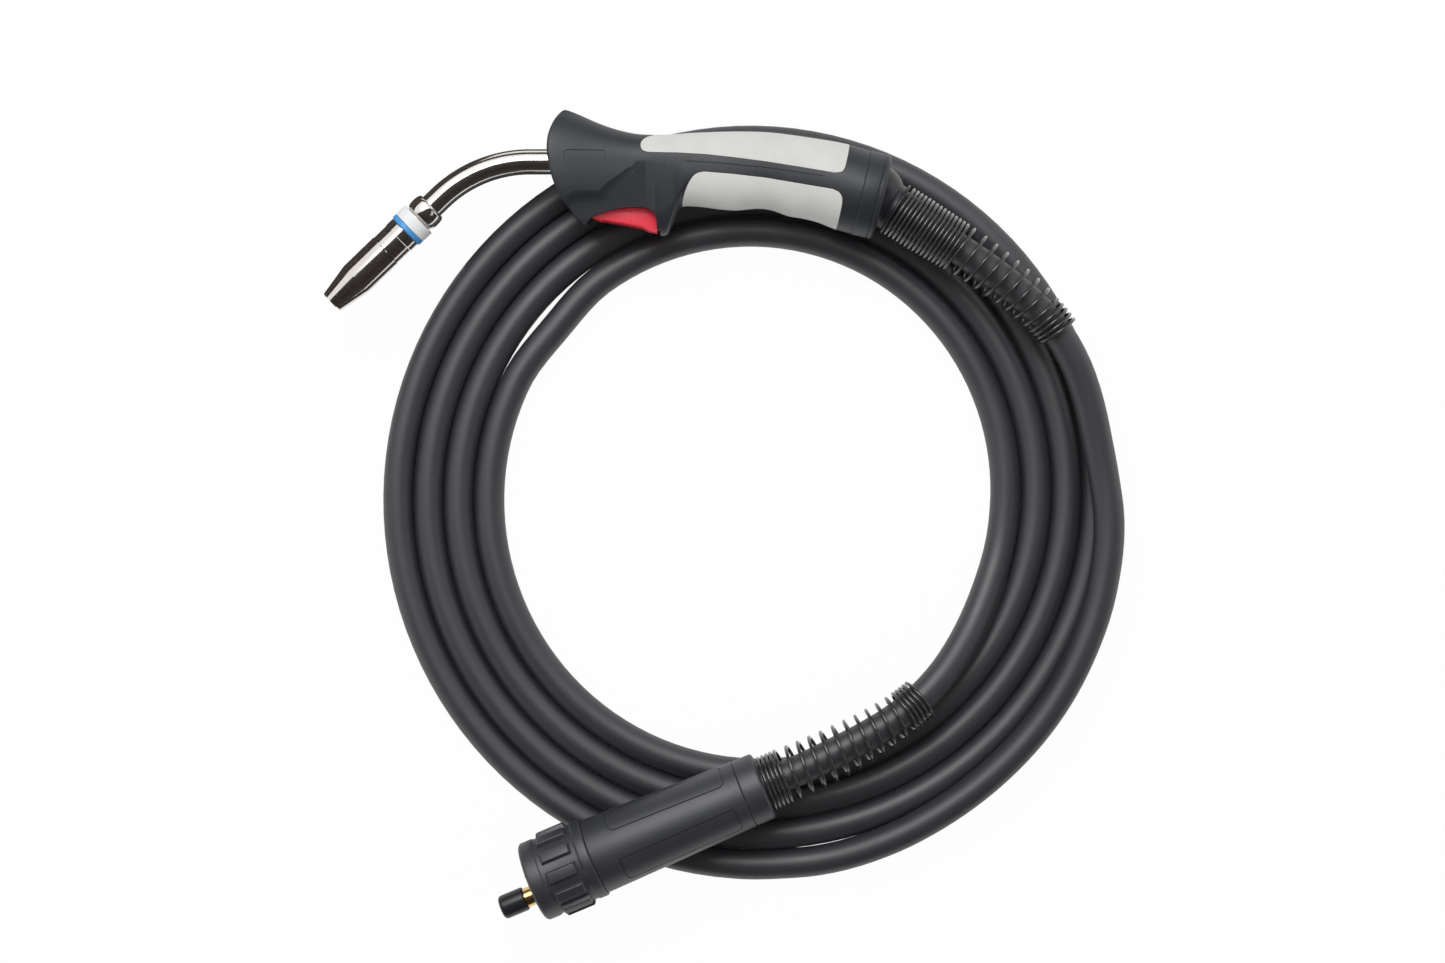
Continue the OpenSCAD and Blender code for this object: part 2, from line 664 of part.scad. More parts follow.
neck_bend_u = -8.6;                     // where the neck starts to bend
neck_seat = 15;                         // depth of the neck in its block
neck_bore_r = neck_d / 2 - neck_wall;
bend_end = neck_r * tan(neck_angle / 2);
head_s = bend_end + 5.2;                // where the bulged head starts
head_r = neck_d / 2 + 2.1;
head_end = head_s + 27.5;
thread_r = 6.4;
ring_s = head_s + 9.2;
nozzle_s = ring_s + white_ring_l + blue_ring_l + 0.1;
mouth_s = nozzle_s + nozzle_l;
tip_end = mouth_s - tip_recess;
nozzle_inner_r = nozzle_d / 2 - 1.4;

module annulus(outer_r, inner_r) difference() {
    circle(r = outer_r);
    circle(r = inner_r);
}

// a tube along the neck's line; the bend laps a little into both straight ends
module bent_tube(outer_r, inner_r, from_u, to_s) {
    lap = 0.3;
    step = 0.02;
    at_handle() translate([neck_bend_u - lap, 0, 0]) rotate([0, 90, 0])
        linear_extrude(height = from_u - neck_bend_u + lap) annulus(outer_r, inner_r);
    at_handle() translate([neck_bend_u, -neck_r, 0]) rotate([0, 0, 90])
        rotate_extrude(angle = neck_angle) translate([neck_r, 0])
            annulus(outer_r - step, inner_r + step);
    at_tip(bend_end - lap) linear_extrude(height = to_s - bend_end + lap)
        annulus(outer_r, inner_r);
}

module neck_tube() color(chrome)
    bent_tube(neck_d / 2, neck_bore_r, block_front + neck_seat, head_s + 6);

module neck_liner() color(ring_white)
    bent_tube(neck_bore_r - fit, wire_bore + 1, block_front + neck_seat, head_s + 5);

module neck_head() color(chrome) at_tip(head_s) difference() {
    rotate_extrude() polygon(concat(
        [[neck_d / 2 + tiny, 0]],
        [for (a = [0:15:180]) [neck_d / 2 + 0.4 + (head_r - neck_d / 2 - 0.4) * sqrt(sin(a)),
            0.4 + 8.4 * (1 - cos(a)) / 2]],
        [[thread_r, 9.1], [thread_r, head_end - head_s - 1], [thread_r - 1, head_end - head_s],
            [3.6, head_end - head_s], [3.6, 6.3], [neck_d / 2 + tiny, 6.3]]));
    translate([0, 0, 18]) cylinder(r = 4.1, h = 12);
}

module collar_ring(length, crown) rotate_extrude() polygon([[thread_r + fit, 0],
    [ring_d / 2 - crown, 0], [ring_d / 2, crown], [ring_d / 2, length - crown],
    [ring_d / 2 - crown, length], [thread_r + fit, length]]);

module insulating_ring() color(ring_white) at_tip(ring_s) collar_ring(white_ring_l - tiny, 0.6);

module seal_ring() color(ring_blue) at_tip(ring_s + white_ring_l) collar_ring(blue_ring_l, 0.3);

// the open ring that grips the nozzle from inside
module nozzle_clip() color(steel) at_tip(nozzle_s + 3) rotate_extrude(angle = 320)
    translate([(thread_r + nozzle_inner_r) / 2, 0])
        circle(r = (nozzle_inner_r - thread_r) / 2 - run, $fn = 20);

module tip_holder() color(brass) at_tip(head_end - 8) difference() {
    holder_l = 21;
    union() {
        cylinder(r = 4, h = 8 + through);
        translate([0, 0, 8 + fit]) cylinder(r = 5.4, h = holder_l - 8 - fit - 1.5);
        translate([0, 0, holder_l - 1.5 - tiny]) cylinder(r1 = 5.4, r2 = 4.4, h = 1.5);
    }
    translate([0, 0, -through]) cylinder(r = 2, h = holder_l + 2 * through);
    translate([0, 0, holder_l - 7]) cylinder(d = tip_d + 2 * 0.02, h = 7 + through);
    for (a = [45:90:315]) rotate([0, 0, a]) translate([0, 0, 11])
        rotate([0, 90, 0]) cylinder(r = 0.9, h = 8);
}

module contact_tip() color(copper) {
    seat_s = head_end - 8 + 21 - 7 + fit;
    at_tip(seat_s) difference() {
        union() {
            cylinder(d = tip_d, h = tip_end - seat_s - 3);
            translate([0, 0, tip_end - seat_s - 3 - tiny])
                cylinder(d1 = tip_d, d2 = tip_d - 1.6, h = 3 + tiny);
        }
        translate([0, 0, -through]) cylinder(d = wire_bore, h = tip_end - seat_s + 2 * through);
    }
}

module gas_nozzle() color(chrome) at_tip(nozzle_s) {
    band = [4.7, 13.2];                 // a band turned down a little, near the rear
    turned = 0.15;
    bore_l = 5.6;
    rotate_extrude() polygon([[nozzle_inner_r, 0], [nozzle_d / 2 - 0.3, 0], [nozzle_d / 2, 0.3],
        [nozzle_d / 2, band[0]], [nozzle_d / 2 - turned, band[0]],
        [nozzle_d / 2 - turned, band[1]], [nozzle_d / 2, band[1]],
        [nozzle_d / 2, nozzle_l - taper_l], [mouth_d / 2, nozzle_l - 0.2],
        [mouth_d / 2 - 0.2, nozzle_l], [mouth_bore / 2, nozzle_l],
        [mouth_bore / 2, nozzle_l - bore_l], [nozzle_inner_r, nozzle_l - taper_l - 1]]);
}

// ---------------------------------------------------------------- inside the handle

module neck_block() color(brass) along_handle(block_front) difference() {
    union() {
        cylinder(r = block_r, h = block_l);
        translate([0, 0, block_l - tiny]) cylinder(r = 5, h = 9 + tiny);
    }
    translate([0, 0, -through]) cylinder(r = neck_d / 2 + 0.02, h = neck_seat + fit + through);
    translate([0, 0, -through]) cylinder(r = 2.5, h = block_l + 9 + 2 * through);
}

module cable_crimp() color(brass) along_handle(crimp_front) difference() {
    cylinder(r = crimp_r, h = crimp_l);
    translate([0, 0, -through]) cylinder(r = 5 + 0.02, h = 10 + through);
    translate([0, 0, crimp_stop]) cylinder(r = cable_d / 2 + 0.04, h = crimp_l);
}

stub_axis = [cos(collar_tilt), -sin(collar_tilt), 0];
stub_from = [crimp_front + crimp_l + 3, 0, 0];
stub_to = ball_at - (ball_d / 2 + 0.5) * stub_axis;
stub_third = (stub_to[0] - stub_from[0]) / 3;

// the cable's bend between the crimp and the ball, from t = 0 to t = 1
function stub_bend(t) = pow(1 - t, 3) * stub_from
    + 3 * t * pow(1 - t, 2) * (stub_from + [stub_third, 0, 0])
    + 3 * t * t * (1 - t) * (stub_to - stub_third * stub_axis) + pow(t, 3) * stub_to;

stub_points = concat([[crimp_front + crimp_stop + air, 0, 0]],
    [for (i = [0:5]) stub_bend(i / 5)], [ball_at - stub_end * stub_axis]);

module handle_cable() color(cable_black) at_handle()
    tube(stub_points, [for (p = stub_points) [0, 0, 1]], cable_d, cable_sides, 180 / cable_sides);

// ---------------------------------------------------------------- trigger and switch

trigger_top = -17.6;
plunger_u = 40;
plunger_r = 1.1;
plunger_tip = trigger_top + air;
switch_wire_d = 1.6;
wire_gap = 1;                           // half the space between the two wires
wire_v = -10.6;

module trigger_pin() color(steel) at_handle()
    translate([trigger_pivot[0], trigger_pivot[1], -pin_half]) cylinder(r = pin_r, h = 2 * pin_half);

module trigger() color(trigger_red) at_handle() difference() {
    translate([0, 0, -trigger_w / 2]) linear_extrude(height = trigger_w) union() {
        polygon([[21, -26.8], [24.9, -28.3], [34.4, -29.8], [44, -31.7], [49.6, -33.3],
            [50.7, -33.5], [51.2, -33], [50.6, -24], [49.6, trigger_top], [27, trigger_top],
            [22, -20.4], [20.4, -23]]);
        translate(trigger_pivot) circle(r = 3);
    }
    translate([trigger_pivot[0], trigger_pivot[1], -trigger_w]) cylinder(r = pin_r + run, h = 2 * trigger_w);
    for (i = [0:13]) translate([28 + 1.6 * i, -28.9 - 0.285 * i - 0.012 * i * i, -trigger_w])
        cylinder(r = 0.35, h = 2 * trigger_w, $fn = 16);
}

module microswitch() color(gloss_black) at_handle() difference() {
    translate([switch_at[0], switch_at[1] - switch_size[1], -switch_size[2] / 2])
        cube(switch_size);
    translate([plunger_u, switch_at[1] - switch_size[1] - through, 0]) rotate([-90, 0, 0])
        cylinder(r = plunger_r + run, h = 4.6 + through);
}

module switch_plunger() color(ring_white) at_handle()
    translate([plunger_u, plunger_tip, 0]) rotate([-90, 0, 0]) cylinder(r = plunger_r, h = 5);

module switch_wires() color(trigger_red) at_handle() for (side = [-1, 1]) {
    first = [switch_at[0] + switch_size[0], wire_v, side * (wire_gap + switch_wire_d / 2)];
    translate(first) rotate([0, 90, 0]) cylinder(d = switch_wire_d, h = 30, $fn = 20);
}

// ---------------------------------------------------------------- connector

pin_offset = 5.6;                       // the wire and gas pin lies off the axis, down the -Y side
contact_offset = 4.9;
contact_spread = 5;
insulator_r = 11.8;
flange_r = 14.2;
block_tail_r = 11;
nut_shoulder_s = 21.3;
thread_inner_r = flange_r + 0.4;
pin_front = -14;
cap_s = -18.6;
cap_l = 12.4;

module at_gas_pin(s) at_plug(s) rotate([0, 0, 0]) translate([0, -pin_offset, 0]) children();

// the two spring contacts lie on the other side of the axis, one above the other
module at_contact(side, s) at_plug(s) translate([side * contact_spread, contact_offset, 0]) children();

module union_nut() color(black) at_plug() {
    rib_s = [9.8, 23.4];
    rib_w = 5.3;
    difference() {
        union() {
            rotate_extrude() polygon([[insulator_r + 1, 0], [nut_d / 2 - 1, 0],
                [nut_d / 2, 1], [nut_d / 2, nut_l - 0.4], [nut_d / 2 - 0.4, nut_l - 0.1],
                [insulator_r + 1, nut_l - 0.1]]);
            for (i = [0:nut_ribs - 1]) rotate([0, 0, 360 * i / nut_ribs - 3.6 + 90])
                translate([nut_d / 2 - 2, 0, 0]) rib(rib_s, rib_w);
        }
        translate([0, 0, -through]) cylinder(r = thread_inner_r, h = nut_shoulder_s + through);
        cylinder(r = block_tail_r + 0.08, h = nut_l + through);
        translate([0, 0, nut_l - 4.4]) cylinder(r = housing_front_d / 2 - 2.4 + air, h = 6);
        translate([0, 0, -through]) cylinder(r1 = thread_inner_r + 2, r2 = thread_inner_r,
            h = 2 + through);
    }
}

// a rib with a flat top and sloped ends
module rib(span, width) {
    slope = 1.2;
    rotate([90, 0, 0]) translate([0, 0, -width / 2]) linear_extrude(height = width)
        polygon([[0, span[0] - slope], [2, span[0] - slope], [2 + rib_h, span[0] + slope],
            [2 + rib_h, span[1] - slope], [2, span[1] + slope], [0, span[1] + slope]]);
}

module plug_insulator() color(gloss_black) difference() {
    at_plug(1.6) cylinder(r = insulator_r, h = 16.3);
    at_gas_pin(0) cylinder(d = gas_pin_d + 2 * fit, h = 30);
    for (side = [-1, 1]) at_contact(side, 0) cylinder(d = contact_d + 2 * run, h = 14);
}

module plug_block() color(brass) difference() {
    at_plug(18) {
        cylinder(r = flange_r, h = 3);
        translate([0, 0, 3 - tiny]) cylinder(r = block_tail_r, h = cable_end_s + 12 - 21);
    }
    at_gas_pin(0) cylinder(d = gas_pin_d + 0.04, h = 32);
    at_plug(34) cylinder(r = 3, h = cable_end_s);
    at_plug(cable_end_s - 0.4) cylinder(r = cable_d / 2 + 0.04, h = 20);
    for (s = screw_rows) at_screw(s) cylinder(r = screw_r + 0.02, h = 20);
}

module wire_gas_pin() color(brass) at_gas_pin(0) difference() {
    union() {
        translate([0, 0, pin_front + 3]) cylinder(d = 7.6, h = -pin_front);
        translate([0, 0, -5.8]) cylinder(d = gas_pin_d, h = 5.8 + 31);
        translate([0, 0, -0.6]) cylinder(d = gas_pin_d + 1.4, h = 2);
    }
    translate([0, 0, -20]) cylinder(r = 1.4, h = 60);
    translate([0, 0, pin_front - 1]) cylinder(r = 2.4 + 0.02, h = 7.2);
    for (s = o_ring_rows) translate([0, 0, s]) rotate_extrude()
        translate([o_ring_r, 0]) circle(r = o_ring_t, $fn = 20);
}

o_ring_rows = [-9.6, -7.8];
o_ring_r = 3.8;
o_ring_t = 0.6;

module gas_pin_o_rings() color(gloss_black) for (s = o_ring_rows) at_gas_pin(s)
    rotate_extrude() translate([o_ring_r, 0]) circle(r = o_ring_t, $fn = 20);

module liner_nut() color(brass) at_gas_pin(pin_front) difference() {
    union() {
        cylinder(r = 3.6, h = 3 - fit);
        cylinder(r = 2.4, h = 6);
    }
    translate([0, 0, -through]) cylinder(r = 1.2, h = 8);
}

module pin_cap() color(gloss_black) at_gas_pin(cap_s) difference() {
    rotate_extrude() polygon([[0, 0], [4.9, 0], [5.75, 0.9], [5.75, cap_l - 0.4],
        [5.35, cap_l], [0, cap_l]]);
    translate([0, 0, 3]) cylinder(r = 4.5, h = cap_l);
}

module contact_pin(side) color(brass) at_contact(side, -1.8) {
    cylinder(d = contact_d - 1, h = 2);
    translate([0, 0, 1.4]) cylinder(d = contact_d, h = 9);
}

module contact_pin_left() contact_pin(-1);
module contact_pin_right() contact_pin(1);

screw_rows = [44, 58];
screw_turn = -11.5;                     // the screws come in from below, between two panels

module at_screw(s) at_plug(s) rotate([0, 0, screw_turn]) rotate([0, 90, 0]) children();

module plug_housing() color(black) difference() {
    at_plug(nut_l) difference() {
        union() {
            housing_cone(0);
            translate([0, 0, -4]) cylinder(r = housing_front_d / 2 - 2.4, h = 5);
        }
        // a thin groove round each of four long panels
        difference() {
            for (i = [0:3]) rotate([0, 0, 90 * i + 33.5]) panel_frame();
            housing_cone(panel_groove);
        }
    }
    at_plug(nut_l - 5) cylinder(r = block_tail_r + fit, h = cable_end_s + 12 - nut_l + 5 + 0.2);
    at_plug(cable_end_s + 11) cylinder(r = cable_d / 2 + 0.3, h = plug_l);
    for (s = screw_rows) at_screw(s) {
        cylinder(r = screw_r + fit, h = 30);
        translate([0, 0, block_tail_r + 2.4]) cylinder(r = screw_head_r + fit, h = 20);
    }
}

panel_groove = 0.4;                     // depth and width of the groove round a panel
panel_w = 14;
panel_s = [9, 61];                      // along the housing
panel_corner = 3;

module housing_cone(inset) cylinder(r1 = housing_front_d / 2 - inset,
    r2 = housing_rear_d / 2 + 0.1 - inset, h = housing_l);

module panel_outline(inset) {
    half_w = panel_w / 2 - panel_corner;
    offset(r = panel_corner - inset, $fn = 24)
        translate([-panel_s[1] + panel_corner, -half_w])
            square([panel_s[1] - panel_s[0] - 2 * panel_corner, 2 * half_w]);
}

module panel_frame() rotate([0, 90, 0]) linear_extrude(height = nut_d) difference() {
    panel_outline(0);
    panel_outline(panel_groove);
}

module plug_end_ring() color(black) at_plug(nut_l + housing_l) difference() {
    rotate_extrude() polygon([[0, 0.15], [housing_rear_d / 2 - 0.3, 0.15],
        [housing_rear_d / 2, 0.45], [housing_rear_d / 2, end_ring_l - 0.8],
        [housing_rear_d / 2 - 0.8, end_ring_l], [spigot_for(plug_spring_d), end_ring_l],
        [spigot_for(plug_spring_d), end_ring_l + spring_seat], [0, end_ring_l + spring_seat]]);
    translate([0, 0, -through]) cylinder(r = cable_d / 2 + 2 * fit,
        h = end_ring_l + spring_seat + 2 * through);
}

module plug_screws() color(steel) for (s = screw_rows) at_screw(s) {
    translate([0, 0, cable_d / 2 + 0.6]) cylinder(r = screw_r, h = block_tail_r + 2.6 - cable_d / 2 - 0.6);
    translate([0, 0, block_tail_r + 2.6]) cylinder(r = screw_head_r, h = 1.8);
}

cable_coil();
cable_torch_end();
cable_plug_end();
torch_spring();
plug_spring();
support_ball();
plug_housing();
plug_end_ring();
plug_block();
plug_insulator();
wire_gas_pin();
gas_pin_o_rings();
liner_nut();
plug_screws();
union_nut();
contact_pin_left();
contact_pin_right();
pin_cap();
handle_shell_upper();
handle_shell_lower();
top_pad_upper();
top_pad_lower();
belly_pad_upper();
belly_pad_lower();
handle_collar();
handle_screws();
neck_tube();
neck_liner();
neck_head();
neck_block();
cable_crimp();
handle_cable();
insulating_ring();
seal_ring();
nozzle_clip();
tip_holder();
contact_tip();
trigger_pin();
microswitch();
switch_wires();
gas_nozzle();
trigger();
switch_plunger();
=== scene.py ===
"""Looks of a gas-cooled MIG welding torch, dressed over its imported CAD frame.

Every class holds its sizes in millimetres, in the frame of its own sub-assembly: the
handle, the neck's tip, the ball joint's collar, the cable support or the connector. A
finished piece is moved into the row frame, in metres, with its place in its mesh.
"""

import json
import logging
import math
from collections.abc import Callable, Iterable, Iterator, Sequence
from contextlib import contextmanager
from dataclasses import dataclass
from enum import Enum
from functools import cache

import bpy
from mathutils import Matrix, Vector

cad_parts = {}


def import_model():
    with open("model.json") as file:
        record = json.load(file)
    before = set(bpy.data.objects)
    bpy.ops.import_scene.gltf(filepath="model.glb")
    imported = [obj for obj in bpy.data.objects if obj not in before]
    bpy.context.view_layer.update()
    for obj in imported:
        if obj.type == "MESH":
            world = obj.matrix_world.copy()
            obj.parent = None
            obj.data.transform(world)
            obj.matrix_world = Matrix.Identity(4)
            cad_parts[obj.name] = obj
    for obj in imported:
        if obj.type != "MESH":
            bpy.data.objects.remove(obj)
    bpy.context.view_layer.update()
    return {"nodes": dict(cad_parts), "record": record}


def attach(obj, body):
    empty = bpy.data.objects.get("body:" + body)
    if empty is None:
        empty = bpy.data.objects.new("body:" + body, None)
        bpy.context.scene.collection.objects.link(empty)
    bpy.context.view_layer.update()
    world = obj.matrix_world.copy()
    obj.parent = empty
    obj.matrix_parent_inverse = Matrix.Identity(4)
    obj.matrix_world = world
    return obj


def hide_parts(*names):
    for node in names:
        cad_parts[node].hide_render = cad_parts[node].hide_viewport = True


LOG = logging.getLogger("welding_torch")
MM = 0.001
MERGE = 2e-4       # mm: points nearer to each other than this become one
SLIVER = 1e-4      # mm: faces thinner than this are dropped
STRAIGHT = 0.12    # radians: a corner that turns less isn't rounded
SIDE_SHARE = 0.42  # most of a side that one rounded corner takes
ON_AXIS = 1e-6     # mm: a corner this near the axis isn't rounded
WHITE = (1, 1, 1, 1)
Point2 = tuple[float, float]
Point3 = tuple[float, float, float]
Colour = tuple[float, float, float]
Piece = bpy.types.Object
Tree = bpy.types.NodeTree
Socket = bpy.types.NodeSocket


class Body(Enum):
    """The moving bodies that pieces ride on."""

    CABLE = "cable"
    HANDLE = "handle"
    TRIGGER = "trigger"
    NOZZLE = "nozzle"
    NUT = "union_nut"
    CAP = "pin_cap"


class Side(Enum):
    """The two halves of the moulded handle."""

    UPPER = 1
    LOWER = -1


class Pick(Enum):
    """What can be selected in a mesh."""

    VERT = "VERT"
    EDGE = "EDGE"
    FACE = "FACE"


class Cut(Enum):
    """What a cutting piece does."""

    DIFFERENCE = "DIFFERENCE"
    INTERSECT = "INTERSECT"
    UNION = "UNION"


def turn(degrees: float, axis: str) -> Matrix:
    """Returns a rotation of that many degrees about a main axis."""
    return Matrix.Rotation(math.radians(degrees), 4, axis)


@dataclass(frozen=True)
class Frames:
    """Where the sub-assemblies stand in the row frame, in millimetres."""

    handle_at: Vector = Vector((-99.3, 159.3, 33.7))
    ball: Vector = Vector((155.2, -16.0, 0.0))
    collar_tilt: float = 13.5
    support_tilt: float = 32.0
    plug_at: Vector = Vector((-106.6, -185.3, 31.6))
    plug_turn: float = 22.8
    bend_u: float = -8.6
    bend_r: float = 61.7
    bend_angle: float = 44.0

    @property
    def handle(self) -> Matrix:
        """The handle's frame: X to the rear, Y away from the trigger."""
        return Matrix.Translation(self.handle_at)

    @property
    def collar(self) -> Matrix:
        """Z runs backwards along the collar from the ball's middle."""
        return (self.handle @ Matrix.Translation(self.ball) @ turn(-self.collar_tilt, "Z")
                @ turn(90, "Y"))

    @property
    def support(self) -> Matrix:
        """Z runs along the cable support from the ball's middle."""
        return (self.handle @ Matrix.Translation(self.ball) @ turn(-self.support_tilt, "Z")
                @ turn(90, "Y"))

    @property
    def plug(self) -> Matrix:
        """Z runs backwards along the connector from the nut's front face."""
        return Matrix.Translation(self.plug_at) @ turn(self.plug_turn, "Z") @ turn(90, "Y")

    @property
    def bend_reach(self) -> float:
        """Distance from where the two neck axes meet to the bend's ends."""
        return self.bend_r * math.tan(math.radians(self.bend_angle / 2))

    @property
    def tip(self) -> Matrix:
        """Z runs towards the nozzle's mouth from where the neck axes meet."""
        corner = Vector((self.bend_u - self.bend_reach, 0, 0))
        return (self.handle @ Matrix.Translation(corner) @ turn(180 + self.bend_angle, "Z")
                @ turn(90, "Y"))


FRAMES = Frames()
ROW = Matrix.Identity(4)


# ---------------------------- curves and outlines


def blend_points(a: Sequence[float], b: Sequence[float], c: Sequence[float],
                 d: Sequence[float], t: float) -> list[float]:
    """Returns the row of values at t on a smooth curve from b to c, between a and d."""
    return [0.5 * (2 * q + (r - p) * t + (2 * p - 5 * q + 4 * r - s) * t * t
                   + (3 * q - p - 3 * r + s) * t ** 3)
            for p, q, r, s in zip(a, b, c, d)]


def smooth_path(points: Sequence[Sequence[float]], step: float) -> list[Vector]:
    """Draws a smooth curve through points.

    Args:
        points: The points that the curve passes through.
        step: About how far apart the new points lie.

    Returns:
        Points along the curve, the first and last given ones included.
    """
    path = []
    last = len(points) - 1
    for i in range(last):
        a, b = points[max(0, i - 1)], points[i]
        c, d = points[i + 1], points[min(last, i + 2)]
        count = max(1, round((Vector(c) - Vector(b)).length / step))
        path += [Vector(blend_points(a, b, c, d, k / count)) for k in range(count)]
    return path + [Vector(points[last])]


def eased(x: float) -> float:
    """Returns 0 below 0, 1 above 1 and a smooth step between them."""
    x = min(1.0, max(0.0, x))
    return x * x * (3 - 2 * x)


def rounded(outline: Sequence[Point2], radius: float, segments: int = 3,
            keep: Callable[[Point2], bool] = lambda p: False) -> list[Point2]:
    """Rounds the corners of a closed outline.

    Args:
        outline: Corners of the outline, in order.
        radius: Rounding radius, cut down where a side is short.
        segments: Pieces per rounded corner.
        keep: Tells which corners stay sharp.

    Returns:
        The new outline.
    """
    result: list[Point2] = []
    count = len(outline)
    for i, corner in enumerate(outline):
        here = Vector(corner)
        before = Vector(outline[i - 1]) - here
        after = Vector(outline[(i + 1) % count]) - here
        bend = abs(before.angle(-after, 0.0))
        if keep(corner) or bend < STRAIGHT or corner[0] < ON_AXIS:
            result.append(corner)
            continue
        reach = min(radius, SIDE_SHARE * before.length, SIDE_SHARE * after.length)
        start = here + before.normalized() * reach
        end = here + after.normalized() * reach
        for k in range(segments + 1):
            t = k / segments
            p = start * (1 - t) ** 2 + here * (2 * t * (1 - t)) + end * t * t
            result.append((p.x, p.y))
    return result


def box_outline(low: Point2, high: Point2) -> list[Point2]:
    """Returns the four corners of a rectangle."""
    return [low, (high[0], low[1]), high, (low[0], high[1])]


def arc_points(middle: Point2, r: float, angles: Iterable[float]) -> list[Point2]:
    """Returns points on a circle at angles in degrees."""
    return [(middle[0] + r * math.cos(math.radians(a)), middle[1] + r * math.sin(math.radians(a)))
            for a in angles]


# ---------------------------- modelling bench


def deselect() -> None:
    """Leaves edit mode and deselects everything."""
    if bpy.context.mode != "OBJECT":
        bpy.ops.object.mode_set(mode="OBJECT")
    bpy.ops.object.select_all(action="DESELECT")


def activate(piece: Piece) -> None:
    """Selects a piece alone and makes it the active one.

    Args:
        piece: The piece.
    """
    deselect()
    piece.select_set(True)
    bpy.context.view_layer.objects.active = piece


@contextmanager
def editing(piece: Piece, everything: bool = True, pick: Pick = Pick.VERT) -> Iterator[None]:
    """Holds a piece in edit mode.

    Args:
        piece: The mesh to edit.
        everything: Whether all of it is selected.
        pick: What is selected.

    Yields:
        Nothing, while the piece is in edit mode.
    """
    activate(piece)
    bpy.ops.object.mode_set(mode="EDIT")
    bpy.ops.mesh.select_mode(type=pick.value)
    bpy.ops.mesh.select_all(action="SELECT" if everything else "DESELECT")
    yield
    bpy.ops.object.mode_set(mode="OBJECT")


def closed(piece: Piece) -> Piece:
    """Merges doubles, drops empty faces and points all faces outwards.

    Args:
        piece: The mesh.

    Returns:
        The same piece.
    """
    with editing(piece):
        bpy.ops.mesh.remove_doubles(threshold=MERGE)
        bpy.ops.mesh.dissolve_degenerate(threshold=SLIVER)
        bpy.ops.mesh.select_all(action="SELECT")
        bpy.ops.mesh.normals_make_consistent(inside=False)
    return piece


def loop(name: str, points: Sequence[Sequence[float]]) -> Piece:
    """Adds a closed loop of edges through points.

    Args:
        name: Name of the new piece.
        points: The loop's points, three numbers each.

    Returns:
        The piece.
    """
    deselect()
    bpy.ops.mesh.primitive_circle_add(vertices=len(points), fill_type="NOTHING")
    piece = bpy.context.object
    piece.name = piece.data.name = name
    for vertex, point in zip(piece.data.vertices, points):
        vertex.co = point
    return piece


def turned(name: str, profile: Sequence[Point2], steps: int) -> Piece:
    """Spins a closed profile about Z.

    Args:
        name: Name of the new piece.
        profile: Corners as (radius, height).
        steps: Faces round the axis.

    Returns:
        The turned piece.
    """
    piece = loop(name, [(r, 0, h) for r, h in profile])
    with editing(piece):
        bpy.ops.mesh.spin(steps=steps, angle=math.tau, center=(0, 0, 0), axis=(0, 0, 1))
    return closed(piece)


def extruded(name: str, outline: Sequence[Point2], low: float, high: float) -> Piece:
    """Extrudes an outline along Z from low to high.

    Args:
        name: Name of the new piece.
        outline: Corners of the closed outline.
        low: Start height.
        high: End height.

    Returns:
        The solid piece.
    """
    piece = loop(name, [(x, y, low) for x, y in outline])
    with editing(piece):
        bpy.ops.mesh.edge_face_add()
        bpy.ops.mesh.extrude_region_move(TRANSFORM_OT_translate={"value": (0, 0, high - low)})
    return closed(piece)


def lofted(name: str, rings: Sequence[Sequence[Vector]]) -> Piece:
    """Lays a grid over rings of points and closes it to a tube.

    Args:
        name: Name of the new piece.
        rings: Rings with the same number of points each.

    Returns:
        The closed piece. Its first and last ring must be flat lines or points.
    """
    across, along = len(rings[0]), len(rings) - 1
    deselect()
    bpy.ops.mesh.primitive_grid_add(x_subdivisions=along, y_subdivisions=across, size=2)
    piece = bpy.context.object
    piece.name = piece.data.name = name
    for vertex in piece.data.vertices:
        i = round((vertex.co.x + 1) / 2 * along)
        j = round((vertex.co.y + 1) / 2 * across) % across
        vertex.co = rings[i][j]
    return closed(piece)


def swept(name: str, path: Sequence[Vector], radius: float, sides: int) -> Piece:
    """Sweeps a round section along a path.

    Args:
        name: Name of the new piece.
        path: Points along the middle.
        radius: Radius of the section.
        sides: Faces round the section, an even number.

    Returns:
        The capped tube as a mesh.
    """
    curve = bpy.data.curves.new(name, "CURVE")
    curve.dimensions = "3D"
    curve.bevel_depth = radius
    curve.bevel_resolution = sides // 2 - 2
    curve.use_fill_caps = True
    spline = curve.splines.new("POLY")
    spline.points.add(len(path) - 1)
    for knot, point in zip(spline.points, path):
        knot.co = (*point, 1.0)
    piece = bpy.data.objects.new(name, curve)
    bpy.context.scene.collection.objects.link(piece)
    activate(piece)
    bpy.ops.object.convert(target="MESH")
    piece = bpy.context.object
    piece.name = piece.data.name = name
    return piece


def applied(piece: Piece, kind: str, **settings: object) -> Piece:
    """Adds a modifier and applies it.

    Args:
        piece: The mesh that gets it.
        kind: Blender's modifier type.
        **settings: Its settings by name.

    Returns:
        The same piece.
    """
    modifier = piece.modifiers.new(kind.lower(), kind)
    for key, value in settings.items():
        setattr(modifier, key, value)
    activate(piece)
    bpy.ops.object.modifier_apply(modifier=modifier.name)
    return piece


def bevelled(piece: Piece, width: float, segments: int = 2, angle: float = 35) -> Piece:
    """Returns the piece with its edges sharper than an angle rounded to a width."""
    return applied(piece, "BEVEL", width=width, segments=segments,
                   limit_method="ANGLE", angle_limit=math.radians(angle),
                   use_clamp_overlap=True, miter_outer="MITER_ARC")


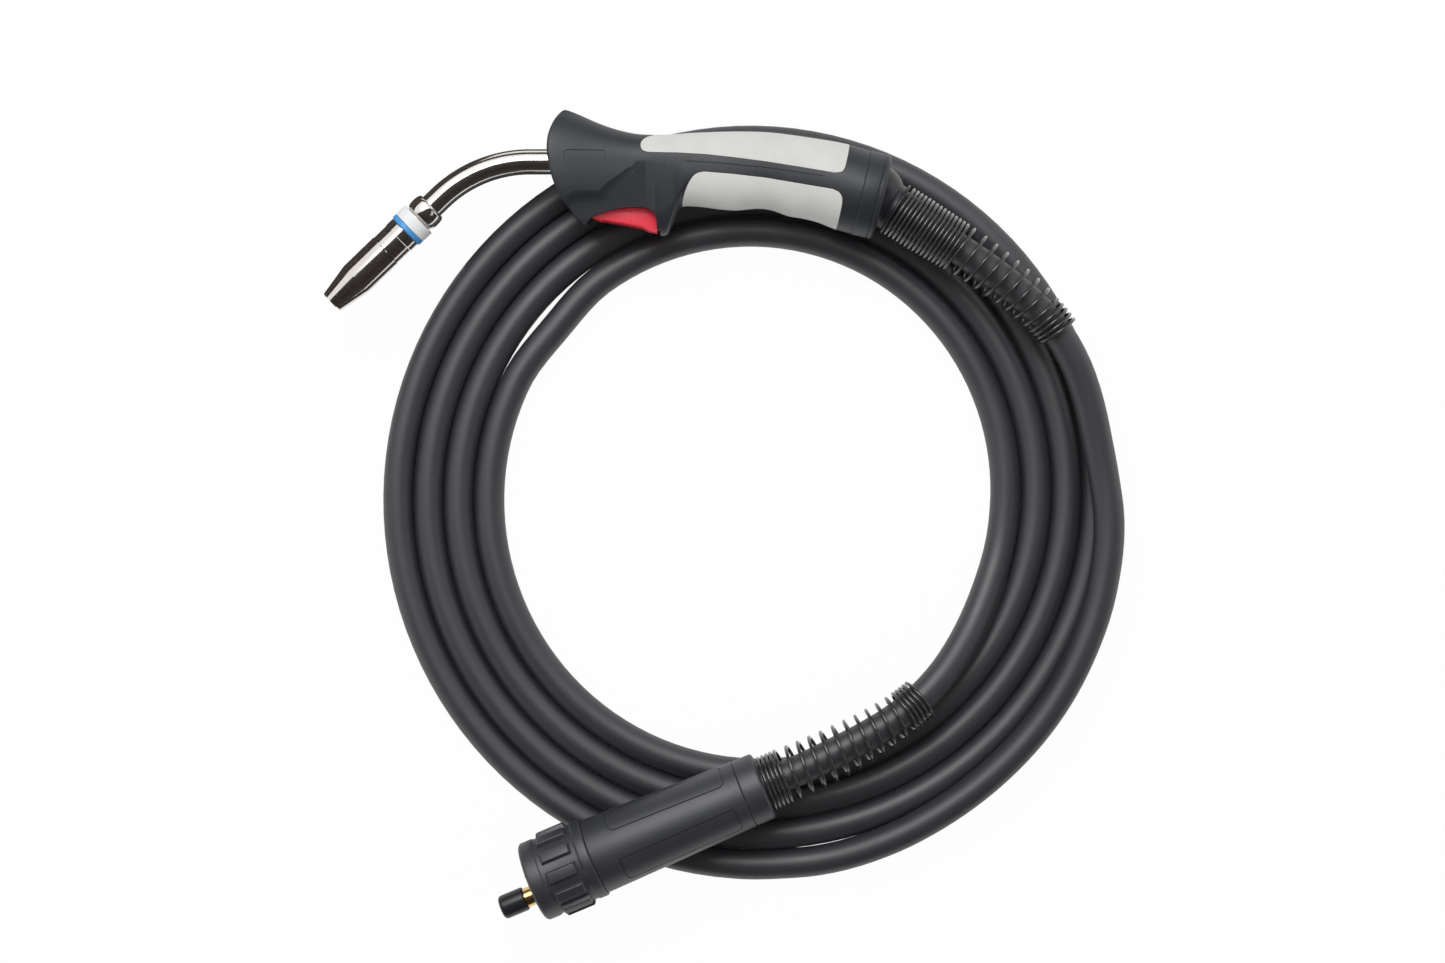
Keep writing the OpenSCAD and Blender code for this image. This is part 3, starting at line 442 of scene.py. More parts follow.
def cut(piece: Piece, tool: Piece, how: Cut = Cut.DIFFERENCE, keep_tool: bool = False) -> Piece:
    """Cuts a piece with another closed piece.

    Args:
        piece: The piece that is cut.
        tool: The cutting piece.
        how: What the tool does.
        keep_tool: Whether the tool is needed again.

    Returns:
        The cut piece.
    """
    applied(piece, "BOOLEAN", object=tool, operation=how.value, solver="MANIFOLD")
    if not keep_tool:
        bpy.data.objects.remove(tool)
    return piece


def copied(piece: Piece, name: str) -> Piece:
    """Copies a piece with its own mesh.

    Args:
        piece: The piece.
        name: Name of the copy.

    Returns:
        The copy.
    """
    copy = piece.copy()
    copy.data = piece.data.copy()
    copy.name = copy.data.name = name
    bpy.context.scene.collection.objects.link(copy)
    return copy


def joined(name: str, pieces: Sequence[Piece]) -> Piece:
    """Joins pieces into the first one.

    Args:
        name: Name of the joined piece.
        pieces: The pieces.

    Returns:
        The joined piece.
    """
    deselect()
    for piece in pieces:
        piece.select_set(True)
    bpy.context.view_layer.objects.active = pieces[0]
    bpy.ops.object.join()
    pieces[0].name = pieces[0].data.name = name
    return pieces[0]


# ---------------------------- finishes


def set_inputs(node: bpy.types.Node, values: dict[str, object]) -> None:
    """Sets a node's inputs by name."""
    for key, value in values.items():
        node.inputs[key].default_value = value


class Kind(Enum):
    """Kinds of sockets that the shared groups have."""

    FLOAT = "NodeSocketFloat"
    VECTOR = "NodeSocketVector"
    COLOUR = "NodeSocketColor"


def start_group(name: str, kind: Kind, output: str,
                **inputs: tuple[Kind, object]) -> tuple[Tree, object, Socket]:
    """Starts a node group with a vector input and one output.

    Args:
        name: The group's name.
        kind: The output's kind.
        output: The output's name.
        **inputs: Kind and default of each further input.

    Returns:
        The tree, its inputs and the socket that its output is fed by.
    """
    tree = bpy.data.node_groups.new(name, "ShaderNodeTree")
    tree.interface.new_socket("Vector", in_out="INPUT", socket_type=Kind.VECTOR.value)
    for label, (sort, value) in inputs.items():
        socket = tree.interface.new_socket(label, in_out="INPUT", socket_type=sort.value)
        socket.default_value = value
    tree.interface.new_socket(output, in_out="OUTPUT", socket_type=kind.value)
    source = tree.nodes.new("NodeGroupInput")
    return tree, source.outputs, tree.nodes.new("NodeGroupOutput").inputs[output]


def math_node(tree: Tree, operation: str, *values: Socket | float) -> Socket:
    """Adds a math node.

    Args:
        tree: The tree that gets it.
        operation: What it does.
        *values: The sockets or numbers that feed it.

    Returns:
        Its output.
    """
    node = tree.nodes.new("ShaderNodeMath")
    node.operation = operation
    for socket, value in zip(node.inputs, values):
        if isinstance(value, (int, float)):
            socket.default_value = value
        else:
            tree.links.new(value, socket)
    return node.outputs[0]


def noise_node(tree: Tree, vector: Socket, scale: Socket | float, detail: float,
               rough: float = 0.55) -> Socket:
    """Adds a noise texture.

    Args:
        tree: The tree that gets it.
        vector: Where it is read.
        scale: Its scale, as a socket or a number.
        detail: Its number of octaves.
        rough: Share that each octave keeps.

    Returns:
        Its grey output.
    """
    node = tree.nodes.new("ShaderNodeTexNoise")
    set_inputs(node, {"Detail": detail, "Roughness": rough})
    tree.links.new(vector, node.inputs["Vector"])
    if isinstance(scale, (int, float)):
        set_inputs(node, {"Scale": scale})
    else:
        tree.links.new(scale, node.inputs["Scale"])
    return node.outputs["Fac"]


@cache
def spark_grain() -> Tree:
    """Makes moulded grain: rounded cells mixed with fine noise.

    Returns:
        The group, whose output is a height.
    """
    tree, given, height = start_group(
        "spark_grain", Kind.FLOAT, "Height", Scale=(Kind.FLOAT, 1500.0),
        Cells=(Kind.FLOAT, 0.5))
    cells = tree.nodes.new("ShaderNodeTexVoronoi")
    cells.feature = "SMOOTH_F1"
    for label in ("Vector", "Scale"):
        tree.links.new(given[label], cells.inputs[label])
    fine = noise_node(tree, given["Vector"], given["Scale"], detail=2.0)
    share = math_node(tree, "MULTIPLY", cells.outputs["Distance"], given["Cells"])
    tree.links.new(math_node(tree, "ADD", share, fine), height)
    return tree


@cache
def uneven_tone() -> Tree:
    """Makes a base colour a little lighter and darker in soft patches.

    Returns:
        The group.
    """
    tree, given, colour = start_group(
        "uneven_tone", Kind.COLOUR, "Color", Scale=(Kind.FLOAT, 40.0),
        Dark=(Kind.COLOUR, (0, 0, 0, 1)), Light=(Kind.COLOUR, WHITE))
    broad = noise_node(tree, given["Vector"], given["Scale"], detail=5.0, rough=0.6)
    spread = tree.nodes.new("ShaderNodeMapRange")
    set_inputs(spread, {"From Min": 0.3, "From Max": 0.7})
    tree.links.new(broad, spread.inputs["Value"])
    mix = tree.nodes.new("ShaderNodeMix")
    mix.data_type = "RGBA"
    for fed, socket in ((spread.outputs["Result"], mix.inputs["Factor"]),
                        (given["Dark"], mix.inputs[6]), (given["Light"], mix.inputs[7]),
                        (mix.outputs[2], colour)):
        tree.links.new(fed, socket)
    return tree


@cache
def handled_gloss() -> Tree:
    """Makes a roughness that varies as on a surface that has been handled.

    Returns:
        The group.
    """
    tree, given, roughness = start_group(
        "handled_gloss", Kind.FLOAT, "Roughness", Scale=(Kind.FLOAT, 90.0),
        Base=(Kind.FLOAT, 0.5), Spread=(Kind.FLOAT, 0.1))
    smears = noise_node(tree, given["Vector"], given["Scale"], detail=4.0, rough=0.65)
    change = math_node(tree, "MULTIPLY", math_node(tree, "SUBTRACT", smears, 0.5),
                       given["Spread"])
    tree.links.new(math_node(tree, "ADD", change, given["Base"]), roughness)
    return tree


@cache
def turning_marks() -> Tree:
    """Makes the fine rings that a lathe tool leaves along a piece's own axis.

    Returns:
        The group, whose output is a height.
    """
    tree, given, height = start_group(
        "turning_marks", Kind.FLOAT, "Height", Axis=(Kind.VECTOR, (0, 0, 1)),
        Pitch=(Kind.FLOAT, 3000.0))
    dot = tree.nodes.new("ShaderNodeVectorMath")
    dot.operation = "DOT_PRODUCT"
    tree.links.new(given["Vector"], dot.inputs[0])
    tree.links.new(given["Axis"], dot.inputs[1])
    line = tree.nodes.new("ShaderNodeCombineXYZ")
    tree.links.new(math_node(tree, "MULTIPLY", dot.outputs["Value"], given["Pitch"]),
                   line.inputs["X"])
    tree.links.new(noise_node(tree, line.outputs[0], 1.0, detail=2.0), height)
    return tree


@dataclass(frozen=True)
class Finish:
    """One surface finish, built as a procedural material.

    Attributes:
        slot: The record's material slot that it belongs to.
        name: The material's name.
        dark: Base colour of the darker patches.
        light: Base colour of the lighter patches.
        roughness: Middle roughness.
        spread: How far roughness varies.
        metallic: 1 for bare or plated metal.
        coat: Strength of a clear coat.
        specular: Specular level.
        patch: Scale of the colour patches, in cells a metre.
        grain: Scale of the bump, in cells a metre.
        depth: Height of the bump in millimetres.
        cells: Share of rounded cells in the bump.
        marks: Axis of lathe marks, or None for moulded grain.
        sheen: Weight of a soft sheen.
        smears: Patches of roughness for each patch of colour.
    """

    slot: str
    name: str
    dark: Colour
    light: Colour
    roughness: float
    spread: float = 0.1
    metallic: float = 0.0
    coat: float = 0.0
    specular: float = 0.5
    patch: float = 40.0
    grain: float = 1500.0
    depth: float = 0.02
    cells: float = 0.5
    marks: Point3 | None = None
    sheen: float = 0.0
    smears: float = 2.3

    def group(self, tree: Tree, shared: Tree, **values: object) -> bpy.types.Node:
        """Places a shared group fed by object coordinates.

        Args:
            tree: The material's tree.
            shared: The node group.
            **values: Its inputs by name.

        Returns:
            The group node.
        """
        node = tree.nodes.new("ShaderNodeGroup")
        node.node_tree = shared
        where = tree.nodes.get("Texture Coordinate") or tree.nodes.new("ShaderNodeTexCoord")
        tree.links.new(where.outputs["Object"], node.inputs["Vector"])
        set_inputs(node, values)
        return node

    @cache
    def build(self) -> bpy.types.Material:
        """Builds the finish's material, on first use only.

        Returns:
            The material.
        """
        material = bpy.data.materials.new(f"{self.name}_finish")
        material.use_nodes = True
        tree = material.node_tree
        shader = tree.nodes["Principled BSDF"]
        set_inputs(shader, {
            "Metallic": self.metallic, "Coat Weight": self.coat, "Coat Roughness": 0.15,
            "Specular IOR Level": self.specular, "Sheen Weight": self.sheen})
        tone = self.group(tree, uneven_tone(), Scale=self.patch,
                          Dark=(*self.dark, 1), Light=(*self.light, 1))
        tree.links.new(tone.outputs["Color"], shader.inputs["Base Color"])
        gloss = self.group(tree, handled_gloss(), Base=self.roughness,
                           Spread=self.spread, Scale=self.patch * self.smears)
        tree.links.new(gloss.outputs["Roughness"], shader.inputs["Roughness"])
        if self.marks:
            relief = self.group(tree, turning_marks(), Axis=self.marks, Pitch=self.grain)
        else:
            relief = self.group(tree, spark_grain(), Scale=self.grain, Cells=self.cells)
        bump = tree.nodes.new("ShaderNodeBump")
        set_inputs(bump, {"Distance": self.depth * MM})
        tree.links.new(relief.outputs["Height"], bump.inputs["Height"])
        tree.links.new(bump.outputs["Normal"], shader.inputs["Normal"])
        return material


def flat_axis(degrees: float) -> Point3:
    """Returns the direction at an angle from X in the lying plane."""
    return (math.cos(math.radians(degrees)), math.sin(math.radians(degrees)), 0.0)


TIP_AXIS = flat_axis(180 + FRAMES.bend_angle)
PLUG_AXIS = flat_axis(FRAMES.plug_turn)


class Finishes(Enum):
    """Every finish on the torch. A slot's own finish comes before its variants."""

    JACKET = Finish("cable_jacket", "jacket_rubber", (0.021, 0.022, 0.027), (0.029, 0.030, 0.036),
                    0.5, 0.1, specular=1.0, patch=25, grain=900, depth=0.008, cells=0.2)
    SPRING = Finish("spring_wire", "spring_lacquer", (0.020, 0.020, 0.022), (0.030, 0.030, 0.032),
                    0.24, 0.12, coat=0.8, patch=200, grain=2500, depth=0.01)
    GLOSS_BLACK = Finish("gloss_black", "gloss_black_plastic", (0.012, 0.012, 0.015),
                         (0.019, 0.020, 0.024), 0.36, 0.08, patch=60, grain=1800, depth=0.003)
    HANDLE = Finish("handle_plastic", "handle_plastic", (0.022, 0.025, 0.031),
                    (0.029, 0.032, 0.039), 0.48, 0.1, patch=45, grain=1700, depth=0.012, cells=0.9)
    CONNECTOR = Finish("connector_plastic", "connector_plastic", (0.020, 0.022, 0.028),
                       (0.027, 0.029, 0.036), 0.5, 0.1, specular=0.95, patch=45, grain=1700,
                       depth=0.01, cells=0.9)
    PAD = Finish("pad_rubber", "pad_rubber", (0.70, 0.70, 0.665), (0.76, 0.76, 0.725), 0.62, 0.1,
                 patch=70, grain=1400, depth=0.03, cells=0.4, sheen=0.1)
    TRIGGER = Finish("trigger_red", "trigger_red", (0.94, 0.036, 0.07), (0.99, 0.048, 0.088), 0.34,
                     0.1, patch=90, grain=1500, depth=0.012)
    NECK = Finish("chrome", "neck_nickel", (0.76, 0.73, 0.69), (0.83, 0.80, 0.76), 0.12, 0.06,
                  metallic=1, patch=60, grain=1200, depth=0.0005)
    NOZZLE = Finish("chrome", "nozzle_nickel", (0.72, 0.68, 0.64), (0.80, 0.76, 0.72), 0.12, 0.06,
                    metallic=1, patch=60, grain=2600, depth=0.0005, marks=TIP_AXIS)
    WHITE_RING = Finish("white_ring", "white_ring", (0.93, 0.94, 0.95), (0.97, 0.98, 0.98), 0.5,
                        0.05, patch=120, grain=1600, depth=0.0005)
    BLUE_RING = Finish("blue_ring", "blue_ring", (0.07, 0.33, 0.72), (0.09, 0.38, 0.80), 0.4, 0.05,
                       patch=120, grain=1600, depth=0.0005)
    BRASS = Finish("brass", "turned_brass", (0.72, 0.50, 0.20), (0.82, 0.60, 0.28), 0.2, 0.12,
                   metallic=1, patch=120, grain=3000, depth=0.01, marks=PLUG_AXIS)
    COPPER = Finish("copper", "turned_copper", (0.62, 0.28, 0.14), (0.72, 0.36, 0.2), 0.28, 0.12,
                    metallic=1, patch=120, grain=3000, depth=0.01, marks=TIP_AXIS)
    STEEL = Finish("steel", "zinc_steel", (0.42, 0.42, 0.42), (0.52, 0.52, 0.51), 0.3, 0.15,
                   metallic=1, patch=150, grain=2600, depth=0.01)
    RUBBER = Finish("rubber_black", "seal_rubber", (0.008, 0.008, 0.008), (0.014, 0.014, 0.014),
                    0.6, 0.1)
    WIRE = Finish("wire_red", "wire_red", (0.45, 0.02, 0.02), (0.55, 0.03, 0.03), 0.45, 0.1)
    LINER = Finish("liner_plastic", "liner_plastic", (0.75, 0.75, 0.72), (0.82, 0.82, 0.8), 0.45,
                   0.1)

    @classmethod
    def of_slot(cls, slot: str) -> Finish:
        """Returns the first finish listed for one of the record's material slots."""
        return next(kind.value for kind in cls if kind.value.slot == slot)


def dressed(piece: Piece, place: Matrix, body: Body, finish: Finishes, *nodes: str,
            smooth: float = 32) -> Piece:
    """Moves a piece to its place and finishes it.

    Args:
        piece: The piece, in millimetres.
        place: The frame that it was built in.
        body: The body that it rides on.
        finish: Its finish.
        *nodes: CAD nodes that it stands for.
        smooth: Angle in degrees below which edges are shaded smooth.

    Returns:
        The piece.
    """
    piece.data.transform(Matrix.Scale(MM, 4) @ place)
    piece.data.update()
    activate(piece)
    bpy.ops.object.shade_smooth_by_angle(angle=math.radians(smooth))
    piece.data.materials.clear()
    piece.data.materials.append(finish.value.build())
    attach(piece, body.value)
    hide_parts(*nodes)
    LOG.info("%s: %d faces on %s", piece.name, len(piece.data.polygons), body.value)
    return piece


# ---------------------------- cable and springs


@dataclass
class Cable:
    """The cable: a coil of flat turns with a free stretch at either end."""

    diameter: float = 14.8
    pitch: float = 14.85
    lay_z: float = 5.76
    radius: float = 179.8
    oval: float = 1.3
    turns: float = 3.75
    slack: float = 2.2
    slack_at: float = 1210.0
    slack_reach: float = 15.0
    end_piece: float = 14.4
    start_lean: float = 2.0
    end_lean: float = 4.0
    torch_end: tuple[Point3, ...] = (
        (84, 125.8, 33.6), (101, 115.2, 33.2), (117, 104, 32.2), (132, 91.8, 30.6),
        (145, 78, 28.6), (154.4, 62, 26.4), (160.8, 44, 24.2), (165.2, 25, 22.4),
        (168.8, 6, 21.4), (171, -12, 21), (169.8, -33, 20.6), (164.2, -59, 20),
        (152.4, -87.5, 19.2), (137.4, -111.3, 18.2), (118.8, -131.9, 17), (97.3, -149.6, 15.2),
        (73.2, -164.2, 13), (50.2, -173.8, 10.2), (30.9, -178.8, 7.4))
    plug_end: tuple[Point3, ...] = (
        (119, -29, 6.6), (114.4, -43, 9.4), (108.4, -57.2, 13.6), (101, -71, 18.4),
        (91.6, -84.6, 23), (80.4, -96.6, 26.4), (67.6, -106.8, 28.8), (54, -115, 30.4),
        (39.6, -122.4, 31.4), (25, -129.6, 31.6), (13.6, -134.6, 31.6))
    plug_length: float = 120.0
    cable_end: float = 66.0
    clamped: float = 15.0
    rings_step: float = 3.0
    route_step: float = 6.0
    sides: int = 28

    def coil_point(self, angle: float) -> Vector:
        """Works out the coil's middle at an angle.

        Args:
            angle: Degrees from the coil's start.

        Returns:
            The point.
        """
        r = (self.radius - self.pitch * angle / 360
             + self.oval * math.cos(math.radians(2 * angle))
             - self.slack * eased(1 - abs(angle - self.slack_at) / self.slack_reach))
        a = math.radians(angle)
        return Vector((-r * math.sin(a), -r * math.cos(a), self.lay_z))

    def torch_points(self) -> list[Vector]:
        """Gathers the points from the ball's middle to the coil's start.

        Returns:
            The points.
        """
        lean = math.radians(self.start_lean)
        start = self.coil_point(0) + self.end_piece * Vector((math.cos(lean), math.sin(lean), 0))
        return [FRAMES.support @ Vector((0, 0, 0)), FRAMES.support @ Vector((0, 0, self.clamped)),
                *map(Vector, self.torch_end), start]

    def plug_points(self) -> list[Vector]:
        """Gathers the points from the coil's end into the connector.

        Returns:
            The points.
        """
        lean = math.radians(self.end_lean)
        end = (self.coil_point(self.turns * 360)
               - self.end_piece * Vector((math.sin(lean), math.cos(lean), 0)))
        return [end, *map(Vector, self.plug_end), FRAMES.plug @ Vector((0, 0, self.plug_length)),
                FRAMES.plug @ Vector((0, 0, self.cable_end))]

    def path(self) -> list[Vector]:
        """Draws the whole cable's middle line, from the torch to the connector.

        Returns:
            Points along it.
        """
        count = round(self.turns * 360 / self.rings_step)
        coil = [self.coil_point(self.turns * 360 * i / count) for i in range(count + 1)]
        line = smooth_path(self.torch_points() + coil[:2], self.route_step)[:-1]
        tail = smooth_path(coil[-2:] + self.plug_points(), self.route_step)[1:]
        return line + coil[1:] + tail[1:]

    def build(self) -> Piece:
        """Builds the cable as one tube, flat where it lies.

        Returns:
            The cable, dressed.
        """
        piece = swept("cable", self.path(), self.diameter / 2, self.sides)
        for vertex in piece.data.vertices:
            vertex.co.z = max(0.0, vertex.co.z)
        return dressed(piece, ROW, Body.CABLE, Finishes.JACKET,
                       "cable_coil", "cable_torch_end", "cable_plug_end", smooth=60)

    def declare(self) -> None:
        path = self.path()


@dataclass
class BendSpring:
    """A lacquered wire spring wound round the cable."""

    name: str
    node: str
    points: list[Vector]
    start: float
    turns: tuple[float, float, float]
    leads: tuple[float, float, float]
    wide: float
    narrow: float = 21.6
    wire: float = 1.72
    seat: float = 9.3
    rings: int = 28
    sides: int = 12

    def run(self, n: float) -> float:
        """Works out how far along the cable a turn lies.

        Args:
            n: The number of turns wound so far.

        Returns:
            The distance from the spring's start.
        """
        first = min(n, self.turns[0])
        middle = min(max(0.0, n - self.turns[0]), self.turns[1])
        last = max(0.0, n - self.turns[0] - self.turns[1])
        return first * self.leads[0] + middle * self.leads[1] + last * self.leads[2]

    def build(self) -> Piece:
        """Winds the spring.

        Returns:
            The spring, dressed.
        """
        line = smooth_path(self.points, 1.0)
        reach = [0.0]
        for a, b in zip(line, line[1:]):
            reach.append(reach[-1] + (b - a).length)
        total = sum(self.turns)
        count = round(total * self.rings)
        wire, i = [], 0
        for k in range(count + 1):
            n = total * k / count
            s = self.start + self.run(n)
            while i < len(reach) - 2 and reach[i + 1] < s:
                i += 1
            along = (line[i + 1] - line[i]).normalized()
            middle = line[i] + along * (s - reach[i])
            side = along.cross(Vector((0, 0, 1))).normalized()
            up = side.cross(along)
            slim = max(0.0, self.run(n) - self.seat) / (self.run(total) - self.seat)
            r = (self.wide + (self.narrow - self.wide) * slim) / 2 - self.wire / 2
            w = math.tau * n
            wire.append(middle + r * (math.cos(w) * side + math.sin(w) * up))
        piece = swept(self.name, wire, self.wire / 2, self.sides)
        return dressed(piece, ROW, Body.CABLE, Finishes.SPRING, self.node, smooth=60)


# ---------------------------- handle


@dataclass
class Handle:
    """The moulded handle: flared guard, grip with soft pads, and trigger opening."""

    around: int = 128
    step: float = 0.8
    front_bow: float = 2.6
    pad_depth: float = 1.4
    pad_gap: float = 0.22
    seam: float = 0.12
    shoulder_r: float = 20.2
    shoulder_back: float = 6.0
    # top u, top v, bottom u, bottom v, bow, half thickness, widest v, squareness
    rings: tuple[tuple[float, ...], ...] = (
        (9, 23.2, 19.6, -30.4, 12.6, 17.2, -1, 2.3),
        (8.4, 24.4, 19, -32, 11.4, 18.6, -1, 2.3),
        (10.6, 24, 20.6, -33, 10.8, 18.8, -1, 2.3),
        (17, 21.4, 25.5, -33.4, 8.6, 18.2, -1, 2.3),
        (25, 17.9, 33, -33.8, 5.6, 17, -1, 2.3),
        (34, 14.9, 41, -34.2, 2.8, 16, -1, 2.3),
        (44, 12.9, 48, -34.6, 0.8, 15.5, -1, 2.3),
        (57, 12.7, 53, -35.2, 0, 15.3, -1, 2.3),
        (67, 13.4, 56.8, -34.8, 0, 15.4, -1, 2.35),
        (69.5, 13.5, 59, -30.6, 0, 15.5, -1.6, 2.4),
        (71.5, 13.6, 61, -26.2, 0, 15.6, -2.4, 2.42),
        (73.5, 13.7, 62.8, -22.6, 0, 15.7, -3.3, 2.45),
        (76, 13.8, 65.4, -21, 0, 15.8, -3.7, 2.48),
        (81, 14, 73, -21.3, 0, 16, -3.8, 2.45),
        (85.5, 14.1, 81.5, -22.4, 0, 16.2, -4.2, 2.42),
        (90, 14.2, 89.5, -23, 0, 16.3, -4.4, 2.38),
        (100, 14.1, 100, -22.2, 0, 16.4, -4.05, 2.32),
        (108, 13.6, 107, -23, 0, 16.5, -4.7, 2.28),
        (117, 12.5, 115, -25.8, 0, 16.8, -6.65, 2.24),
        (126, 11.2, 122.5, -27.1, 0, 17.4, -7.95, 2.19),
        (135, 9.8, 129.5, -29, 0, 18.2, -9.6, 2.13),
        (144, 8, 137, -32, 0, 19.2, -12, 2.05))
    end_shares: tuple[float, ...] = (0, 0.25, 0.5, 0.7, 0.85, 0.95)
    top_pad: tuple[Point2, ...] = (
        (51.4, 26), (51.4, 12.4), (47.2, 10.6), (44.9, 8.2), (44.4, 5.8), (45.2, 3.4),
        (48, 2.4), (62, 2.1), (76, 1.2), (90, -0.4), (104, -2.3), (120, -4.9), (136.6, -7.9),
        (139.8, -7.4), (141.2, -5.2), (142.6, 0.6), (145.5, 14), (145.5, 26))
    belly_pad: tuple[Point2, ...] = (
        (64.2, -40), (64, -20.5), (65.6, -15.2), (68, -10.4), (70.6, -7.4), (74.5, -6.5),
        (88, -7.7), (104, -9.5), (119.4, -12.2), (135, -15), (138.2, -16.4), (139.9, -19),
        (139.9, -22), (138.2, -31), (136.3, -40))
    cheek_deep: float = 30.0
    cheek_z: float = 15.6
    cheek_top: float = -0.8
    cheek_lean: float = 0.2
    cheek_fold: float = 26.6
    cheek_rise: float = 0.09
    cheek_crease: float = 7.0
    crease_end: float = 45.0
    cheek_turn: float = 46.0
    cheek_edge: float = 62.0
    cheek_ease: float = 0.45
    cheek_lift: float = 0.12
    # outline of the flat beside the trigger, seen from the side; its crease comes first
    cheek_outline: tuple[Point2, ...] = (
        (41.5, 2.2), (24.4, -14.4), (13.6, -14.8), (2, -20.4), (2, -44), (80, -44), (80, 6),
        (44.6, 6))
    # fine moulding line between the pads, seen from the side
    line: tuple[Point2, ...] = ((66, -1.7), (80, -2.6), (90.5, -3.7), (103, -4.9),
                                (114, -6.4), (126, -8.3), (131, -9.2))
    line_width: float = 0.36
    window_at: Point2 = (42, -72.3)
    window_r: float = 49.5
    window_arc: range = range(84, 114, 2)
    pocket: tuple[Point2, Point2] = ((19.2, -40), (53.8, -14.4))
    pocket_half: float = 5.8
    panel: tuple[Point2, Point2] = ((8.8, -12), (28.6, 3.4))
    panel_foot: tuple[Point2, Point2] = ((0, -14), (40, -1.6))
    groove: float = 0.5
    groove_step: float = 1.6
    groove_reach: float = 25.0
    core_reach: float = 30.0
    inner_step: float = 2.0
    inner_first: int = 6
    reach: float = 40.0

    def shoulder(self) -> tuple[float, ...]:
        """Works out the last ring, round and square to the collar.

        Returns:
            Its sizes, in the order of the rings field.
        """
        tilt = math.radians(FRAMES.collar_tilt)
        u = FRAMES.ball.x - self.shoulder_back * math.cos(tilt)
        v = FRAMES.ball.y + self.shoulder_back * math.sin(tilt)
        du, dv = self.shoulder_r * math.sin(tilt), self.shoulder_r * math.cos(tilt)
        return (u + du, v + dv, u - du, v - dv, 0, self.shoulder_r, v, 2.0)

    def cheek(self, side: Side) -> Piece:
        """Builds the block that cuts the leaning, folded flat beside the trigger.

        Its edge is rounded widely along the crease, so the flat runs up to it in a hollow.

        Args:
            side: Which half of the handle it cuts.

        Returns:
            The block.
        """
        block = extruded("cheek", self.cheek_outline, 0, self.cheek_deep)
        with editing(block, everything=False, pick=Pick.EDGE):
            bpy.ops.object.mode_set(mode="OBJECT")
            for edge in block.data.edges:
                ends = [block.data.vertices[v].co for v in edge.vertices]
                edge.select = all(e.z < 0.1 and e.x < self.crease_end and e.y > -self.reach
                                  for e in ends)
            bpy.ops.object.mode_set(mode="EDIT")
            bpy.ops.mesh.bevel(offset=self.cheek_crease, segments=8, affect="EDGES",
                               clamp_overlap=True)
            steps = range(round(self.cheek_turn), round(self.cheek_edge) + 1, 2)
            for at in (self.cheek_fold, *steps):
                bpy.ops.mesh.select_all(action="SELECT")
                bpy.ops.mesh.bisect(plane_co=(at, 0, 0), plane_no=(1, 0, 0))
        level = self.cheek_z - self.cheek_top * self.cheek_lean
        for vertex in block.data.vertices:
            x, y, _ = vertex.co
            past = eased((x - self.cheek_turn) / (self.cheek_edge - self.cheek_turn))
            vertex.co.z += (level + self.cheek_lean * (1 - self.cheek_ease * past) * y
                            + self.cheek_rise * max(0.0, self.cheek_fold - x)
                            + self.cheek_lift * max(0.0, x - self.cheek_edge))
        if side is Side.LOWER:
            block.data.transform(Matrix.Diagonal((1, 1, -1, 1)))
        return closed(block)

    def ring(self, values: Sequence[float], grow: float, flat: float = 1.0) -> list[Vector]:
        """Draws one ring of points.

        Args:
            values: The ring's sizes, in the order of the rings field.
            grow: Offset outwards.
            flat: Share of its thickness that it keeps.

        Returns:
            The ring's points.
        """
        top_u, top_v, low_u, low_v, bow, half, widest, n = values
        points = []
        for k in range(self.around):
            w = math.tau * k / self.around
            c, s = math.cos(w), math.sin(w)
            reach = (top_v - widest if c > 0 else widest - low_v) + grow
            v = widest + reach * math.copysign(abs(c) ** (2 / n), c)
            t = (v - low_v) / (top_v - low_v)
            u = low_u + (top_u - low_u) * t - bow * (1 - abs(2 * t - 1) ** self.front_bow)
            side = (half + grow) * abs(s) ** (2 / n)
            points.append(Vector((u, v, math.copysign(side, s) * flat)))
        return points

    def outside(self, name: str, grow: float = 0.0, first: int = 0,
                step: float | None = None) -> Piece:
        """Lofts the handle's whole outside as one closed solid.

        Args:
            name: Name of the new piece.
            grow: Offset outwards.
            first: The ring that it starts from.
            step: About how far apart its rings lie, or None for the step field.

        Returns:
            The solid.
        """
        given = [*self.rings[first:], self.shoulder()]
        values: list[Sequence[float]] = []
        for i in range(len(given) - 1):
            a, b = given[max(0, i - 1)], given[i]
            c, d = given[i + 1], given[min(len(given) - 1, i + 2)]
            count = max(2, round(max(abs(c[0] - b[0]), abs(c[3] - b[3]), abs(c[1] - b[1]))
                                 / (step or self.step)))
            values += [blend_points(a, b, c, d, k / count) for k in range(count)]
        values.append(given[-1])
        rings = [self.ring(values[0], grow, s) for s in self.end_shares]
        rings += [self.ring(v, grow) for v in values]
        rings += [self.ring(values[-1], grow, s) for s in reversed(self.end_shares)]
        return lofted(name, rings)

    def prism(self, name: str, outline: Sequence[Point2], reach: float | None = None) -> Piece:
        """Returns a prism that stands out of the handle on both sides."""
        reach = reach or self.reach
        return extruded(name, outline, -reach, reach)

    def pad_room(self, outline: Sequence[Point2], inset: float) -> Piece:
        """Returns the prism of a pad's rounded outline, drawn in by inset."""
        smooth = rounded(outline, 3.0, 4, keep=lambda p: abs(p[1]) > 25)
        return self.prism("pad_room", self.drawn_in(smooth, inset))

